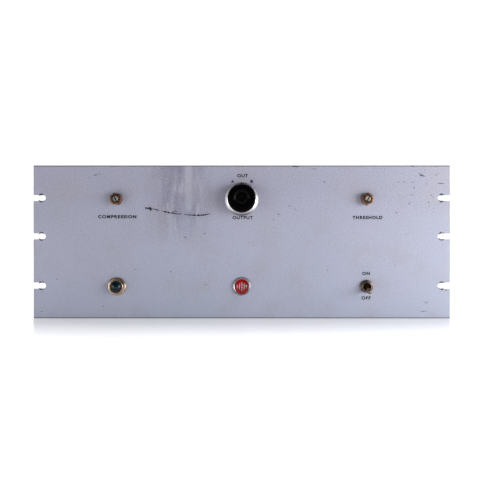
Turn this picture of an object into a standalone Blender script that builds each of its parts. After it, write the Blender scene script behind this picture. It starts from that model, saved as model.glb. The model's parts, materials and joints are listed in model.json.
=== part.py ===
"""A rack compressor for a 19 inch rack, four units high: a slotted front panel with its controls,
and an open amplifier chassis behind it. Run it with: blender --background --python part.py

Metres, +Z up, the panel's face towards -Y. The origin is the middle of the panel's bottom edge.
Controls are modelled pointing along +Z, outward from the panel's mid-plane, and their parent
empty turns them to face -Y.
"""

import math

import bmesh
import bpy
from mathutils import Matrix, Vector
from mathutils.geometry import delaunay_2d_cdt

# ---------------------------------------------------------------- driving dimensions
GAP = 0.0003  # between pieces that touch

PANEL_WIDTH = 0.4826  # 19 inches
PANEL_HEIGHT = 0.1770  # four rack units less the standard clearance
PANEL_THICKNESS = 0.0032
SLOT_HEIGHT = 0.0071
SLOT_DEPTH = 0.0143
SLOT_ROWS = (0.0377, 0.09485, 0.1393)

CONTROL_SPREAD = 0.1445  # from the centre line to the outer controls
UPPER_ROW = 0.1379
LOWER_ROW = 0.0369

CHASSIS_WIDTH = 0.4318  # 17 inches
CHASSIS_DEPTH = 0.2032  # 8 inches
SHEET = 0.0016
DECK_TOP = 0.0660
COVER_BOTTOM = 0.0
COVER_THICKNESS = 0.0012

# Heights along a control's own axis, outward from the panel's mid-plane
FACE = PANEL_THICKNESS / 2
BACK = -PANEL_THICKNESS / 2
APRON_BACK = BACK - GAP - SHEET

# Places along Y in the chassis
CHASSIS_FRONT = PANEL_THICKNESS / 2 + GAP
CHASSIS_REAR = CHASSIS_FRONT + CHASSIS_DEPTH
ON_DECK = DECK_TOP + GAP
UNDER_DECK = DECK_TOP - SHEET

SHAFT_RADIUS = 0.003175
SHAFT_BORE = SHAFT_RADIUS + GAP
BUSH_RADIUS = 0.00475
BUSH_HOLE = BUSH_RADIUS + 0.0004
HEX_ACROSS_FLATS = 0.0127

TOGGLE_BUSH_RADIUS = 0.00595
TOGGLE_HOLE = TOGGLE_BUSH_RADIUS + 0.0004
TOGGLE_THROW = math.radians(30)
LAMP_BARREL_RADIUS = 0.0085
LAMP_HOLE = LAMP_BARREL_RADIUS + 0.0004

POWER_TRANSFORMER_AT = (0.150, 0.112)
BELL_CUT_OUT = (0.072, 0.058)
OUTPUT_TRANSFORMER_AT = (-0.160, 0.150)
INPUT_TRANSFORMER_AT = (-0.175, 0.068)
CAPACITORS_AT = ((0.072, 0.072), (0.072, 0.128))
TUBES_AT = ((-0.105, 0.110), (-0.050, 0.110), (0.005, 0.110))
TUBE_HOLE = 0.0100
CAPACITOR_HOLE = 0.0120
GROMMETS_AT = {"compression": (-0.132, 0.034), "selector": (0.026, 0.050), "threshold": (0.124, 0.034)}
GROMMET_HOLE = 0.0055
BOARD_AT = (-0.035, 0.112)
BOARD_SIZE = (0.190, 0.064)
BOARD_HEIGHT = 0.0380

REAR_ROW = 0.0340  # height of the connectors on the rear apron
STRIP_AT = -0.100
STRIP_TERMINALS = 8
STRIP_PITCH = 0.0111
FUSE_AT = 0.060
FUSE_HOLE = 0.0066
INLET_AT = 0.155


# ---------------------------------------------------------------- scene and materials
def clear_scene():
    for obj in list(bpy.data.objects):
        bpy.data.objects.remove(obj)


def finish(name, colour, roughness, metallic=0.0):
    """A plain Principled material."""
    material = bpy.data.materials.new(name)
    material.use_nodes = True
    shader = material.node_tree.nodes["Principled BSDF"]
    shader.inputs["Base Color"].default_value = (*colour, 1.0)
    shader.inputs["Roughness"].default_value = roughness
    shader.inputs["Metallic"].default_value = metallic
    return material


def add(name, shape, material, parent=None, location=(0, 0, 0), rotation=(0, 0, 0)):
    """Makes the shape an object, smooth on its round sides, and places it."""
    mesh = bpy.data.meshes.new(name)
    shape.to_mesh(mesh)
    shape.free()
    mesh.shade_smooth()
    mesh.set_sharp_from_angle(angle=math.radians(35))
    mesh.materials.append(material)
    obj = bpy.data.objects.new(name, mesh)
    bpy.context.scene.collection.objects.link(obj)
    obj.parent = parent
    obj.location = location
    obj.rotation_euler = rotation
    return obj


def boolean(target, operation, shape):
    """Cuts the shape from the target, or joins it on. The shape is in the target's own frame."""
    helper = add(f"{target.name}_{operation.lower()}", shape, target.data.materials[0], target)
    helper.hide_render = True
    helper.display_type = "WIRE"
    modifier = target.modifiers.new(operation.title(), "BOOLEAN")
    modifier.operation = operation
    modifier.solver = "EXACT"
    modifier.object = helper
    return target


def seat(name, x, z):
    """An empty on a control's axis, whose +Z points out of the panel's face."""
    empty = bpy.data.objects.new(name, None)
    bpy.context.scene.collection.objects.link(empty)
    empty.location = (x, 0, z)
    empty.rotation_euler = (math.pi / 2, 0, 0)
    return empty


# ---------------------------------------------------------------- shapes
def loft(rings):
    """A closed body through rings of equally many points, with flat ends."""
    shape = bmesh.new()
    made = [[shape.verts.new(point) for point in ring] for ring in rings]
    count = len(made[0])
    for low, high in zip(made, made[1:]):
        for i in range(count):
            j = (i + 1) % count
            shape.faces.new((low[i], low[j], high[j], high[i]))
    shape.faces.new(reversed(made[0]))
    shape.faces.new(made[-1])
    bmesh.ops.recalc_face_normals(shape, faces=shape.faces)
    return shape


def turned(profile, segments=24):
    """A closed profile of (radius, height) points turned round Z. It is a ring unless it starts and
    ends on the axis."""
    shape = bmesh.new()
    rings = []
    for radius, height in profile:
        if radius == 0:
            rings.append([shape.verts.new((0, 0, height))])
            continue
        angles = [2 * math.pi * i / segments for i in range(segments)]
        rings.append(
            [shape.verts.new((radius * math.cos(a), radius * math.sin(a), height)) for a in angles]
        )
    solid = profile[0][0] == 0 and profile[-1][0] == 0
    pairs = list(zip(rings, rings[1:] if solid else rings[1:] + rings[:1]))
    for low, high in pairs:
        for i in range(segments):
            j = (i + 1) % segments
            corners = (low[i % len(low)], low[j % len(low)], high[j % len(high)], high[i % len(high)])
            shape.faces.new(dict.fromkeys(corners))
    bmesh.ops.recalc_face_normals(shape, faces=shape.faces)
    return shape


def inside(point, outline):
    """Whether a flat point is inside a closed outline."""
    x, y = point
    crossings = 0
    for (x1, y1), (x2, y2) in zip(outline, outline[1:] + outline[:1]):
        if (y1 > y) != (y2 > y) and x < x1 + (y - y1) * (x2 - x1) / (y2 - y1):
            crossings += 1
    return crossings % 2 == 1


def prism(outline, low, high, holes=()):
    """A flat outline in X and Y, with its holes, extruded from height low to height high."""
    loops = [[tuple(point) for point in loop] for loop in (outline, *holes)]
    points = [Vector(point) for loop in loops for point in loop]
    edges = []
    for loop in loops:
        first = len(edges)
        edges += [(first + i, first + (i + 1) % len(loop)) for i in range(len(loop))]
    flat, _, triangles, *_ = delaunay_2d_cdt(points, edges, [], 1, 1e-7)
    middles = [sum((flat[i] for i in triangle), Vector((0, 0))) / 3 for triangle in triangles]
    triangles = [
        t for t, middle in zip(triangles, middles) if not any(inside(middle, hole) for hole in loops[1:])
    ]
    shape = bmesh.new()
    lower = [shape.verts.new((x, y, low)) for x, y in flat]
    upper = [shape.verts.new((x, y, high)) for x, y in flat]
    sides = set()
    for triangle in triangles:
        shape.faces.new([upper[i] for i in triangle])
        shape.faces.new([lower[i] for i in reversed(triangle)])
        sides |= {(a, b) for a, b in zip(triangle, triangle[1:] + triangle[:1])}
    for a, b in sides:
        if (b, a) not in sides:
            shape.faces.new((lower[a], lower[b], upper[b], upper[a]))
    bmesh.ops.recalc_face_normals(shape, faces=shape.faces)
    return shape


def rectangle(width, height, x=0.0, y=0.0):
    """Corners of a rectangle centred on x, y."""
    w, h = width / 2, height / 2
    return [(x - w, y - h), (x + w, y - h), (x + w, y + h), (x - w, y + h)]


def circle(radius, x=0.0, y=0.0, segments=24, start=0.0):
    angles = [start + 2 * math.pi * i / segments for i in range(segments)]
    return [(x + radius * math.cos(a), y + radius * math.sin(a)) for a in angles]


def rounded(width, height, radius, steps=3):
    """A rectangle with round corners, centred on the origin."""
    points = []
    for quarter, (sx, sy) in enumerate(((1, 1), (-1, 1), (-1, -1), (1, -1))):
        for i in range(steps + 1):
            angle = (quarter + i / steps) * math.pi / 2
            x = sx * (width / 2 - radius) + radius * math.cos(angle)
            y = sy * (height / 2 - radius) + radius * math.sin(angle)
            points.append((x, y))
    return points


def hexagon(across_flats, turn=0.0):
    return circle(across_flats / math.sqrt(3), segments=6, start=turn)


def block(width, depth, low, high, x=0.0, y=0.0):
    """A rectangular bar, centred on x, y."""
    return prism(rectangle(width, depth, x, y), low, high)


def moved(shape, matrix):
    bmesh.ops.transform(shape, matrix=matrix, verts=shape.verts)
    return shape


def together(*shapes):
    """Several shapes that don't touch, as one."""
    whole = bmesh.new()
    for shape in shapes:
        mesh = bpy.data.meshes.new("shape")
        shape.to_mesh(mesh)
        shape.free()
        whole.from_mesh(mesh)
        bpy.data.meshes.remove(mesh)
    return whole


def along_y(shape, x, z):
    """Turns a shape made along +Z so that it points along +Y, and moves its axis to x, z."""
    return moved(shape, Matrix.Translation((x, 0, z)) @ Matrix.Rotation(-math.pi / 2, 4, "X"))


def hex_nut(low, high, bore, turn=0.0, across_flats=HEX_ACROSS_FLATS):
    return prism(hexagon(across_flats, turn), low, high, [circle(bore)])


def smooth_route(points, spacing):
    """Points on a Catmull-Rom curve through the route's points, about spacing apart."""
    route = [Vector(point) for point in points]
    route = [2 * route[0] - route[1], *route, 2 * route[-1] - route[-2]]
    path = []
    for a, b, c, d in zip(route, route[1:], route[2:], route[3:]):
        steps = max(2, round((c - b).length / spacing))
        for i in range(steps):
            t = i / steps
            bend = 2 * a - 5 * b + 4 * c - d
            twist = 3 * b - a - 3 * c + d
            path.append(0.5 * (2 * b + (c - a) * t + bend * t**2 + twist * t**3))
    return path + [route[-2]]


# ---------------------------------------------------------------- front panel and badge
def slotted_outline():
    """The panel's outline in X and Z, with the open rack slots in both ends."""
    half = PANEL_WIDTH / 2
    radius = SLOT_HEIGHT / 2
    steps = 8
    right = [(half, 0.0)]
    for row in SLOT_ROWS:
        right.append((half, row - radius))
        for i in range(steps + 1):
            angle = -math.pi / 2 - math.pi * i / steps
            x = half - SLOT_DEPTH + radius + radius * math.cos(angle)
            right.append((x, row + radius * math.sin(angle)))
        right.append((half, row + radius))
    right.append((half, PANEL_HEIGHT))
    return right + [(-x, z) for x, z in reversed(right)]


def build_panel(paint, silver, enamel):
    panel_frame = seat("panel_frame", 0, 0)
    holes = [
        circle(BUSH_HOLE, -CONTROL_SPREAD, UPPER_ROW),
        circle(BUSH_HOLE, 0, UPPER_ROW),
        circle(BUSH_HOLE, CONTROL_SPREAD, UPPER_ROW),
        circle(TOGGLE_HOLE, CONTROL_SPREAD, LOWER_ROW),
        circle(LAMP_HOLE, -CONTROL_SPREAD, LOWER_ROW, segments=28),
    ]
    add("front_panel", prism(slotted_outline(), BACK, FACE, holes), paint, panel_frame)

    badge = seat("badge_seat", 0, LOWER_ROW)
    rim, well, field = 0.0105, 0.0087, 0.0083
    foot = FACE + GAP
    profile = [
        (0, foot), (rim, foot), (rim, foot + 0.0012), (rim - 0.0008, foot + 0.0020),
        (well, foot + 0.0020), (well, foot + 0.0008), (0, foot + 0.0008),
    ]  # fmt: skip
    add("badge_body", turned(profile, 32), silver, badge)
    low = foot + 0.0008 + GAP
    add(
        "badge_enamel", turned([(0, low), (field, low), (field, low + 0.0006), (0, low + 0.0008)], 28),
        enamel, badge,
    )


# ---------------------------------------------------------------- pilot lamp
def build_lamp(nickel, jewel_glass, bulb_glass, bakelite):
    lamp = seat("lamp_seat", -CONTROL_SPREAD, LOWER_ROW)
    bore = 0.0067
    flange = 0.0105
    foot = FACE + GAP
    bezel = [
        (bore, -0.0140), (LAMP_BARREL_RADIUS, -0.0140), (LAMP_BARREL_RADIUS, foot), (flange, foot),
        (flange, foot + 0.0010), (0.0088, foot + 0.0030), (0.0080, foot + 0.0022), (0.0080, foot + 0.0060),
        (0.0074, foot + 0.0068), (bore, foot + 0.0062),
    ]  # fmt: skip
    add("lamp_bezel", turned(bezel, 28), nickel, lamp)

    radius = bore - GAP
    dome = [
        (radius * math.cos(a), 0.0075 + 0.0048 * math.sin(a)) for a in (i * math.pi / 8 for i in range(4))
    ]
    jewel = [(0, 0.0020), (radius, 0.0020), *dome, (0, 0.0123)]
    add("lamp_jewel", turned(jewel, 24), jewel_glass, lamp)

    add(
        "lamp_nut",
        hex_nut(APRON_BACK - GAP - 0.0030, APRON_BACK - GAP, LAMP_BARREL_RADIUS + GAP, 0, 0.0222), nickel,
        lamp,
    )

    bulb = [
        (0, -0.0260), (0.0045, -0.0260), (0.0045, -0.0130), (0.0047, -0.0100), (0.0047, -0.0030),
        (0.0030, 0), (0, 0.0008),
    ]
    add("lamp_bulb", turned(bulb, 16), bulb_glass, lamp)

    front = -0.0140 - GAP
    cup = [
        (0, -0.0380), (0.0040, -0.0380), (0.0080, -0.0340), (0.0080, front), (0.0051, front),
        (0.0051, -0.0280), (0, -0.0280),
    ]  # fmt: skip
    add("lamp_socket", turned(cup, 20), bakelite, lamp)


# ---------------------------------------------------------------- output selector
def build_selector(bakelite, spun, steel, brass, phenolic):
    fixed = seat("selector_seat", 0, UPPER_ROW)
    turning = seat("selector_axis", 0, UPPER_ROW)

    cap_foot, cap_top, cap_radius, bore_end = 0.0062, 0.0205, 0.01615, 0.0170
    knob = [
        (0, bore_end), (SHAFT_BORE, bore_end), (SHAFT_BORE, cap_foot), (cap_radius, cap_foot),
        (cap_radius, cap_top - 0.0022), (cap_radius - 0.0007, cap_top - 0.0007),
        (cap_radius - 0.0022, cap_top),
        (0.0095, cap_top), (0.0075, cap_top - 0.0012), (0, cap_top - 0.0018),
    ]  # fmt: skip
    knob_object = add("selector_knob", turned(knob, 32), bakelite, turning)

    screw_height, screw_radius = 0.0105, 0.0017
    across = Matrix.Translation((0, 0, screw_height)) @ Matrix.Rotation(math.pi / 2, 4, "X")
    boolean(
        knob_object, "DIFFERENCE",
        moved(turned([(0, 0.0010), (0.0020, 0.0010), (0.0020, 0.0200), (0, 0.0200)], 12), across),
    )
    near, far = SHAFT_BORE, 0.0140
    add(
        "selector_set_screw",
        moved(turned([(0, near), (screw_radius, near), (screw_radius, far), (0, far)], 10), across), steel,
        turning,
    )

    skirt = [
        (0.0085, 0.0050), (0.0158, 0.0050), (0.0186, 0.0024), (0.01935, 0.0024), (0.01935, 0.0031),
        (0.0165, 0.0059), (0.0085, 0.0059),
    ]  # fmt: skip
    add("selector_skirt", turned(skirt, 36), spun, turning)
    add(
        "selector_nut", hex_nut(FACE + GAP, FACE + GAP + 0.0023, BUSH_RADIUS + GAP, math.radians(10)),
        brass, fixed,
    )

    plate_front, plate_back, plate_radius, bush_top = BACK - GAP, BACK - GAP - 0.0016, 0.0165, 0.0048
    frame = [
        (SHAFT_BORE, bush_top), (BUSH_RADIUS, bush_top), (BUSH_RADIUS, plate_front),
        (plate_radius, plate_front),
        (plate_radius, plate_back), (SHAFT_BORE, plate_back),
    ]  # fmt: skip
    add("selector_frame", turned(frame, 28), steel, fixed)

    tail = -0.0330
    shaft = [(0, tail), (SHAFT_RADIUS, tail), (SHAFT_RADIUS, bore_end - 0.0006), (0, bore_end - 0.0006)]
    add("selector_shaft", turned(shaft, 20), steel, turning)

    lobes = 12
    star = []
    for i in range(lobes * 2):
        angle = math.pi * i / lobes
        radius = 0.0105 if i % 2 else 0.0090
        star.append((radius * math.cos(angle), radius * math.sin(angle)))
    wheel_front = plate_back - 0.0012
    add(
        "selector_detent_wheel",
        prism(star, wheel_front - 0.0020, wheel_front, [circle(SHAFT_BORE, segments=16)]), brass, turning,
    )

    rod_offset, rod_radius, spacer_radius = 0.0135, 0.0014, 0.0026
    wafer_front, wafer_back = -0.0240, -0.0260
    head_back = -0.0300
    rotor_radius = 0.0085
    wafer = prism(
        circle(0.0185, segments=28), wafer_back, wafer_front,
        [
            circle(rotor_radius + 0.0004, segments=24),
            *(circle(rod_radius + GAP, side * rod_offset, segments=10) for side in (-1, 1)),
        ],
    )  # fmt: skip
    add("selector_wafer", wafer, phenolic, fixed)
    add(
        "selector_rotor",
        prism(circle(rotor_radius), wafer_back, wafer_front, [circle(SHAFT_BORE, segments=16)]), phenolic,
        turning,
    )
    rod = [
        (0, head_back), (0.0030, head_back), (0.0030, wafer_back - GAP), (rod_radius, wafer_back - GAP),
        (rod_radius, wafer_front + GAP), (spacer_radius, wafer_front + GAP),
        (spacer_radius, plate_back - GAP), (0, plate_back - GAP),
    ]  # fmt: skip
    for side, name in ((-1, "selector_rod_left"), (1, "selector_rod_right")):
        add(name, turned(rod, 12), steel, fixed, (side * rod_offset, 0, 0))


# ---------------------------------------------------------------- locking trimmers
def build_trimmer(name, x, slot_turn, split_turn, nut_turn, nickel, brass, case_metal):
    """A screwdriver-set potentiometer whose split bush is clamped on its shaft by a hexagon nut."""
    fixed = seat(f"{name}_seat", x, UPPER_ROW)
    turning = seat(f"{name}_axis", x, UPPER_ROW)
    bush_top, shaft_top = 0.0114, 0.0122
    mount_top = FACE + GAP + 0.0023
    lock_low, lock_high = mount_top + GAP, 0.0102

    plate_front = BACK - GAP
    plate_back = plate_front - 0.0018
    bush = [
        (SHAFT_BORE, bush_top), (BUSH_RADIUS - 0.0006, bush_top), (BUSH_RADIUS, bush_top - 0.0010),
        (BUSH_RADIUS, plate_front),
        (0.0120, plate_front), (0.0120, plate_back), (SHAFT_BORE, plate_back),
    ]  # fmt: skip
    bushing = add(f"{name}_bushing", turned(bush, 24), nickel, fixed)
    arm, width = 0.0080, 0.0010
    cross = []
    for quarter in range(4):
        turn = Matrix.Rotation(split_turn + quarter * math.pi / 2, 2)
        cross += [
            turn @ Vector(point) for point in ((arm, -width / 2), (arm, width / 2), (width / 2, width / 2))
        ]
    boolean(bushing, "DIFFERENCE", prism(cross, lock_low + 0.0010, bush_top + 0.0050))

    add(
        f"{name}_mount_nut", hex_nut(FACE + GAP, mount_top, BUSH_RADIUS + GAP, nut_turn + math.radians(22)),
        brass, fixed,
    )
    add(f"{name}_lock_nut", hex_nut(lock_low, lock_high, BUSH_RADIUS + GAP, nut_turn), brass, turning)

    wiper_front, wiper_back, wiper_radius = plate_back - 0.0015, plate_back - 0.0035, 0.0100
    shaft = [
        (0, wiper_back - 0.0015), (SHAFT_RADIUS, wiper_back - 0.0015), (SHAFT_RADIUS, wiper_back),
        (wiper_radius, wiper_back),
        (wiper_radius, wiper_front), (SHAFT_RADIUS, wiper_front), (SHAFT_RADIUS, shaft_top - 0.0004),
        (SHAFT_RADIUS - 0.0004, shaft_top), (0, shaft_top),
    ]  # fmt: skip
    shaft_object = add(f"{name}_shaft", turned(shaft, 20), nickel, turning)
    slot = moved(
        block(0.0010, 0.0100, shaft_top - 0.0022, shaft_top + 0.0010), Matrix.Rotation(slot_turn, 4, "Z")
    )
    boolean(shaft_object, "DIFFERENCE", slot)

    case_front, case_back, case_radius, wall = plate_back - GAP, plate_back - 0.0155, 0.0135, 0.0010
    case = [
        (0, case_back), (case_radius, case_back), (case_radius, case_front),
        (case_radius - wall, case_front),
        (case_radius - wall, case_back + wall), (0, case_back + wall),
    ]  # fmt: skip
    case_object = add(f"{name}_case", turned(case, 28), case_metal, fixed)
    lug_low, lug_high = case_back + 0.0030, case_back + 0.0038
    lugs = [block(0.0030, 0.0100, lug_low, lug_high, lug * 0.0060, -0.0165) for lug in (-1, 0, 1)]
    boolean(case_object, "UNION", together(*lugs))


# ---------------------------------------------------------------- power toggle
def build_toggle(bakelite, nickel, bronze):
    fixed = seat("toggle_seat", CONTROL_SPREAD, LOWER_ROW)
    pivot_height = 0.0010
    bore = 0.0043
    bush_top = 0.0068
    ring_foot = FACE + GAP
    plate_front = -0.0072
    bush = [
        (bore + 0.0004, bush_top), (TOGGLE_BUSH_RADIUS - 0.0005, bush_top),
        (TOGGLE_BUSH_RADIUS, bush_top - 0.0006),
        (TOGGLE_BUSH_RADIUS, plate_front), (0.0085, plate_front), (0.0085, plate_front - 0.0012),
        (bore, plate_front - 0.0012),
        (bore, bush_top - 0.0010),
    ]  # fmt: skip
    add("toggle_bushing", turned(bush, 24), bronze, fixed)
    ring_hole = TOGGLE_BUSH_RADIUS + GAP
    ring = [
        (ring_hole, ring_foot), (0.0077, ring_foot), (0.0077, ring_foot + 0.0022),
        (0.0071, ring_foot + 0.0028), (ring_hole, ring_foot + 0.0028),
    ]  # fmt: skip
    add("toggle_ring_nut", turned(ring, 28), bronze, fixed)
    add(
        "toggle_back_nut", hex_nut(plate_front + GAP, APRON_BACK - GAP, ring_hole, 0, 0.0150), bronze, fixed
    )

    body_front, body_back = plate_front - 0.0012 - GAP, -0.0270
    body = add("toggle_body", block(0.0175, 0.0285, body_back, body_front), bakelite, fixed)
    lugs = [
        block(0.0070, 0.0060, body_back - 0.0040, body_back + 0.0010, 0, side * 0.0080) for side in (-1, 1)
    ]
    boolean(body, "UNION", together(*lugs))

    lever_axis = bpy.data.objects.new("toggle_axis", None)
    bpy.context.scene.collection.objects.link(lever_axis)
    lever_axis.location = (CONTROL_SPREAD, -pivot_height, LOWER_ROW)
    lever_axis.rotation_euler = (math.pi / 2 + TOGGLE_THROW / 2, 0, 0)
    ball = 0.0035
    ball_side = [
        (ball * math.sin(a), -ball * math.cos(a)) for a in map(math.radians, (40, 65, 90, 115, 140))
    ]
    lever = [
        (0, -0.0065), (0.0012, -0.0065), (0.0012, -0.0033), *ball_side,
        (0.0017, 0.0034), (0.0017, 0.0060), (0.0026, 0.0150), (0.0029, 0.0185), (0.0026, 0.0198),
        (0.0016, 0.0205), (0, 0.0207),
    ]  # fmt: skip
    add("toggle_lever", turned(lever, 16), nickel, lever_axis)


# ---------------------------------------------------------------- chassis, cover and brackets
def open_box(width, depth, low, high, wall, y_front):
    """A sheet-metal pan, open below."""
    shape = bmesh.new()
    rings = []
    for inset, z in ((0, low), (0, high), (wall, high - wall), (wall, low)):
        w, y0, y1 = width / 2 - inset, y_front + inset, y_front + depth - inset
        rings.append(
            [shape.verts.new(point) for point in ((-w, y0, z), (w, y0, z), (w, y1, z), (-w, y1, z))]
        )
    outer_low, outer_high, inner_high, inner_low = rings
    for a, b in ((outer_low, outer_high), (inner_high, inner_low), (inner_low, outer_low)):
        for i in range(4):
            j = (i + 1) % 4
            shape.faces.new((a[i], a[j], b[j], b[i]))
    shape.faces.new(outer_high)
    shape.faces.new(reversed(inner_high))
    bmesh.ops.recalc_face_normals(shape, faces=shape.faces)
    return shape


def build_chassis(sheet):
    low = COVER_BOTTOM + COVER_THICKNESS + GAP
    chassis = add(
        "chassis", open_box(CHASSIS_WIDTH, CHASSIS_DEPTH, low, DECK_TOP, SHEET, CHASSIS_FRONT), sheet
    )
    through_deck = (UNDER_DECK - 0.002, DECK_TOP + 0.002)
    cutters = [prism(circle(TUBE_HOLE, *at, segments=20), *through_deck) for at in TUBES_AT]
    cutters += [prism(circle(CAPACITOR_HOLE, *at, segments=20), *through_deck) for at in CAPACITORS_AT]
    cutters += [prism(circle(GROMMET_HOLE, *at, segments=16), *through_deck) for at in GROMMETS_AT.values()]
    cutters.append(block(*BELL_CUT_OUT, *through_deck, *POWER_TRANSFORMER_AT))
    front = (CHASSIS_FRONT - 0.002, CHASSIS_FRONT + SHEET + 0.002)
    rear = (CHASSIS_REAR - SHEET - 0.002, CHASSIS_REAR + 0.002)
    cutters.append(along_y(prism(circle(TOGGLE_HOLE, segments=20), *front), CONTROL_SPREAD, LOWER_ROW))
    cutters.append(along_y(prism(circle(LAMP_HOLE, segments=24), *front), -CONTROL_SPREAD, LOWER_ROW))
    cutters.append(along_y(prism(circle(FUSE_HOLE, segments=20), *rear), FUSE_AT, REAR_ROW))
    boolean(chassis, "DIFFERENCE", together(*cutters))

    middle = CHASSIS_FRONT + CHASSIS_DEPTH / 2
    vents = []
    for row in (-1, 1):
        for column in range(6):
            vents.append(rectangle(0.0030, 0.0400, (column - 2.5) * 0.0120 + 0.150, middle + row * 0.0300))
    outline = rectangle(CHASSIS_WIDTH, CHASSIS_DEPTH - 0.0004, 0, middle)
    add("bottom_cover", prism(outline, COVER_BOTTOM, COVER_BOTTOM + COVER_THICKNESS, vents), sheet)


def build_brackets(sheet):
    """Gussets that hold the panel's top square to the chassis, with a front and a foot flange."""
    low, top = ON_DECK, 0.1680
    front, rear = CHASSIS_FRONT, CHASSIS_FRONT + 0.1800
    flange = 0.0140
    profile = [(front, low), (rear, low), (rear, low + 0.0140), (front + 0.0160, top), (front, top)]
    stand_up = Matrix(((0, 0, 1, 0), (1, 0, 0, 0), (0, 1, 0, 0), (0, 0, 0, 1)))
    for side, name in ((-1, "left_bracket"), (1, "right_bracket")):
        outer = side * CHASSIS_WIDTH / 2
        inner = outer - side * SHEET
        gusset = moved(prism(profile, min(outer, inner), max(outer, inner)), stand_up)
        bracket = add(name, gusset, sheet)
        middle = outer - side * flange / 2
        foot = block(flange, rear - front, low, low + SHEET, middle, (front + rear) / 2)
        face = block(flange, SHEET, low, top, middle, front + SHEET / 2)
        boolean(bracket, "UNION", foot)
        boolean(bracket, "UNION", face)


# ---------------------------------------------------------------- parts on the deck
def rounded_ring(width, depth, radius, z):
    return [(x, y, z) for x, y in rounded(width, depth, radius)]


def build_transformers(iron, enamel, tape, can_metal):
    x, y = POWER_TRANSFORMER_AT
    core_width, core_depth, core_height = 0.0950, 0.0800, 0.0320
    core = loft([rounded_ring(core_width, core_depth, 0.0030, z) for z in (0, core_height)])
    add("power_transformer_core", core, iron, None, (x, y, ON_DECK))
    bell = [
        rounded_ring(0.0900, 0.0750, 0.0060, 0), rounded_ring(0.0900, 0.0750, 0.0060, 0.0014),
        rounded_ring(0.0700, 0.0560, 0.0090, 0.0015), rounded_ring(0.0690, 0.0550, 0.0090, 0.0200),
        rounded_ring(0.0620, 0.0480, 0.0080, 0.0255), rounded_ring(0.0500, 0.0360, 0.0060, 0.0275),
    ]  # fmt: skip
    add("power_transformer_upper_bell", loft(bell), enamel, None, (x, y, ON_DECK + core_height + GAP))
    width, depth = (side - 2 * 0.0010 for side in BELL_CUT_OUT)
    lower = [
        rounded_ring(width * 0.8, depth * 0.8, 0.0060, -0.0240),
        rounded_ring(width, depth, 0.0080, -0.0200),
        rounded_ring(width, depth, 0.0080, -GAP),
    ]  # fmt: skip
    add("power_transformer_lower_bell", loft(lower), enamel, None, (x, y, ON_DECK))

    x, y = OUTPUT_TRANSFORMER_AT
    half, foot, sheet, height, leg, stack = 0.0285, 0.0390, 0.0016, 0.0500, 0.0095, 0.0220
    outline = [
        (-foot, 0), (foot, 0), (foot, sheet), (half, sheet), (half, height), (-half, height),
        (-half, sheet), (-foot, sheet),
    ]  # fmt: skip
    low_window, high_window = 0.0110, height - leg
    window_height, window_middle = high_window - low_window, (low_window + high_window) / 2
    window = [rectangle(leg, window_height, side * leg * 1.5, window_middle) for side in (-1, 1)]
    stand_up = Matrix.Rotation(math.pi / 2, 4, "X")
    core = moved(prism(outline, -stack / 2, stack / 2, window), stand_up)
    add("output_transformer_core", core, iron, None, (x, y, ON_DECK))
    winding_low, winding_high = low_window + 0.0005, high_window - 0.0005
    winding = prism(
        rounded(4 * leg - 0.0008, stack + 0.0180, 0.0050), winding_low, winding_high,
        [rectangle(2 * leg + 2 * GAP, stack + 2 * GAP)]
    )
    add("output_transformer_winding", winding, tape, None, (x, y, ON_DECK))

    can = [
        (0, 0), (0.0240, 0), (0.0240, 0.0020), (0.0200, 0.0022), (0.0200, 0.0560), (0.0192, 0.0580),
        (0.0170, 0.0590), (0, 0.0590),
    ]  # fmt: skip
    add("input_transformer", turned(can, 28), can_metal, None, (*INPUT_TRANSFORMER_AT, ON_DECK))


def build_capacitors_and_tubes(can_metal, glass, shield_metal):
    can = [
        (0, -0.0060), (0.0100, -0.0060), (0.0100, 0), (0.0220, 0), (0.0220, 0.0022), (0.0175, 0.0024),
        (0.0175, 0.0060),
        (0.0168, 0.0070), (0.0175, 0.0080), (0.0175, 0.0740), (0.0165, 0.0750), (0.0150, 0.0750),
        (0.0145, 0.0742), (0, 0.0742),
    ]  # fmt: skip
    for number, at in enumerate(CAPACITORS_AT, 1):
        add(f"filter_capacitor_{number}", turned(can, 24), can_metal, None, (*at, ON_DECK))

    envelope = [
        (0, -0.0060), (0.0080, -0.0060), (0.0080, 0.0010), (0.0104, 0.0030), (0.0104, 0.0420),
        (0.0090, 0.0465),
        (0.0055, 0.0495), (0.0020, 0.0515), (0.0014, 0.0545), (0, 0.0555),
    ]  # fmt: skip
    shield = [
        (0.0112, 0), (0.0150, 0), (0.0150, 0.0010), (0.0119, 0.0012), (0.0119, 0.0490), (0.0100, 0.0515),
        (0.0072, 0.0520),
        (0.0072, 0.0514), (0.0096, 0.0509), (0.0112, 0.0486),
    ]  # fmt: skip
    for number, at in enumerate(TUBES_AT, 1):
        add(f"tube_{number}", turned(envelope, 18), glass, None, (*at, ON_DECK))
        add(f"tube_shield_{number}", turned(shield, 22), shield_metal, None, (*at, ON_DECK))


# ---------------------------------------------------------------- under the deck and on the rear apron
def build_board(phenolic):
    x, y = BOARD_AT
    width, depth = BOARD_SIZE
    board = add("component_board", block(width, depth, 0, SHEET), phenolic, None, (x, y, BOARD_HEIGHT))
    post_x, post_y = width / 2 - 0.0060, depth / 2 - 0.0060
    top = UNDER_DECK - GAP - BOARD_HEIGHT
    corners = [(i * post_x, j * post_y) for i in (-1, 1) for j in (-1, 1)]
    posts = [prism(circle(0.0030, *corner, segments=10), SHEET / 2, top) for corner in corners]
    boolean(board, "UNION", together(*posts))


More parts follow.
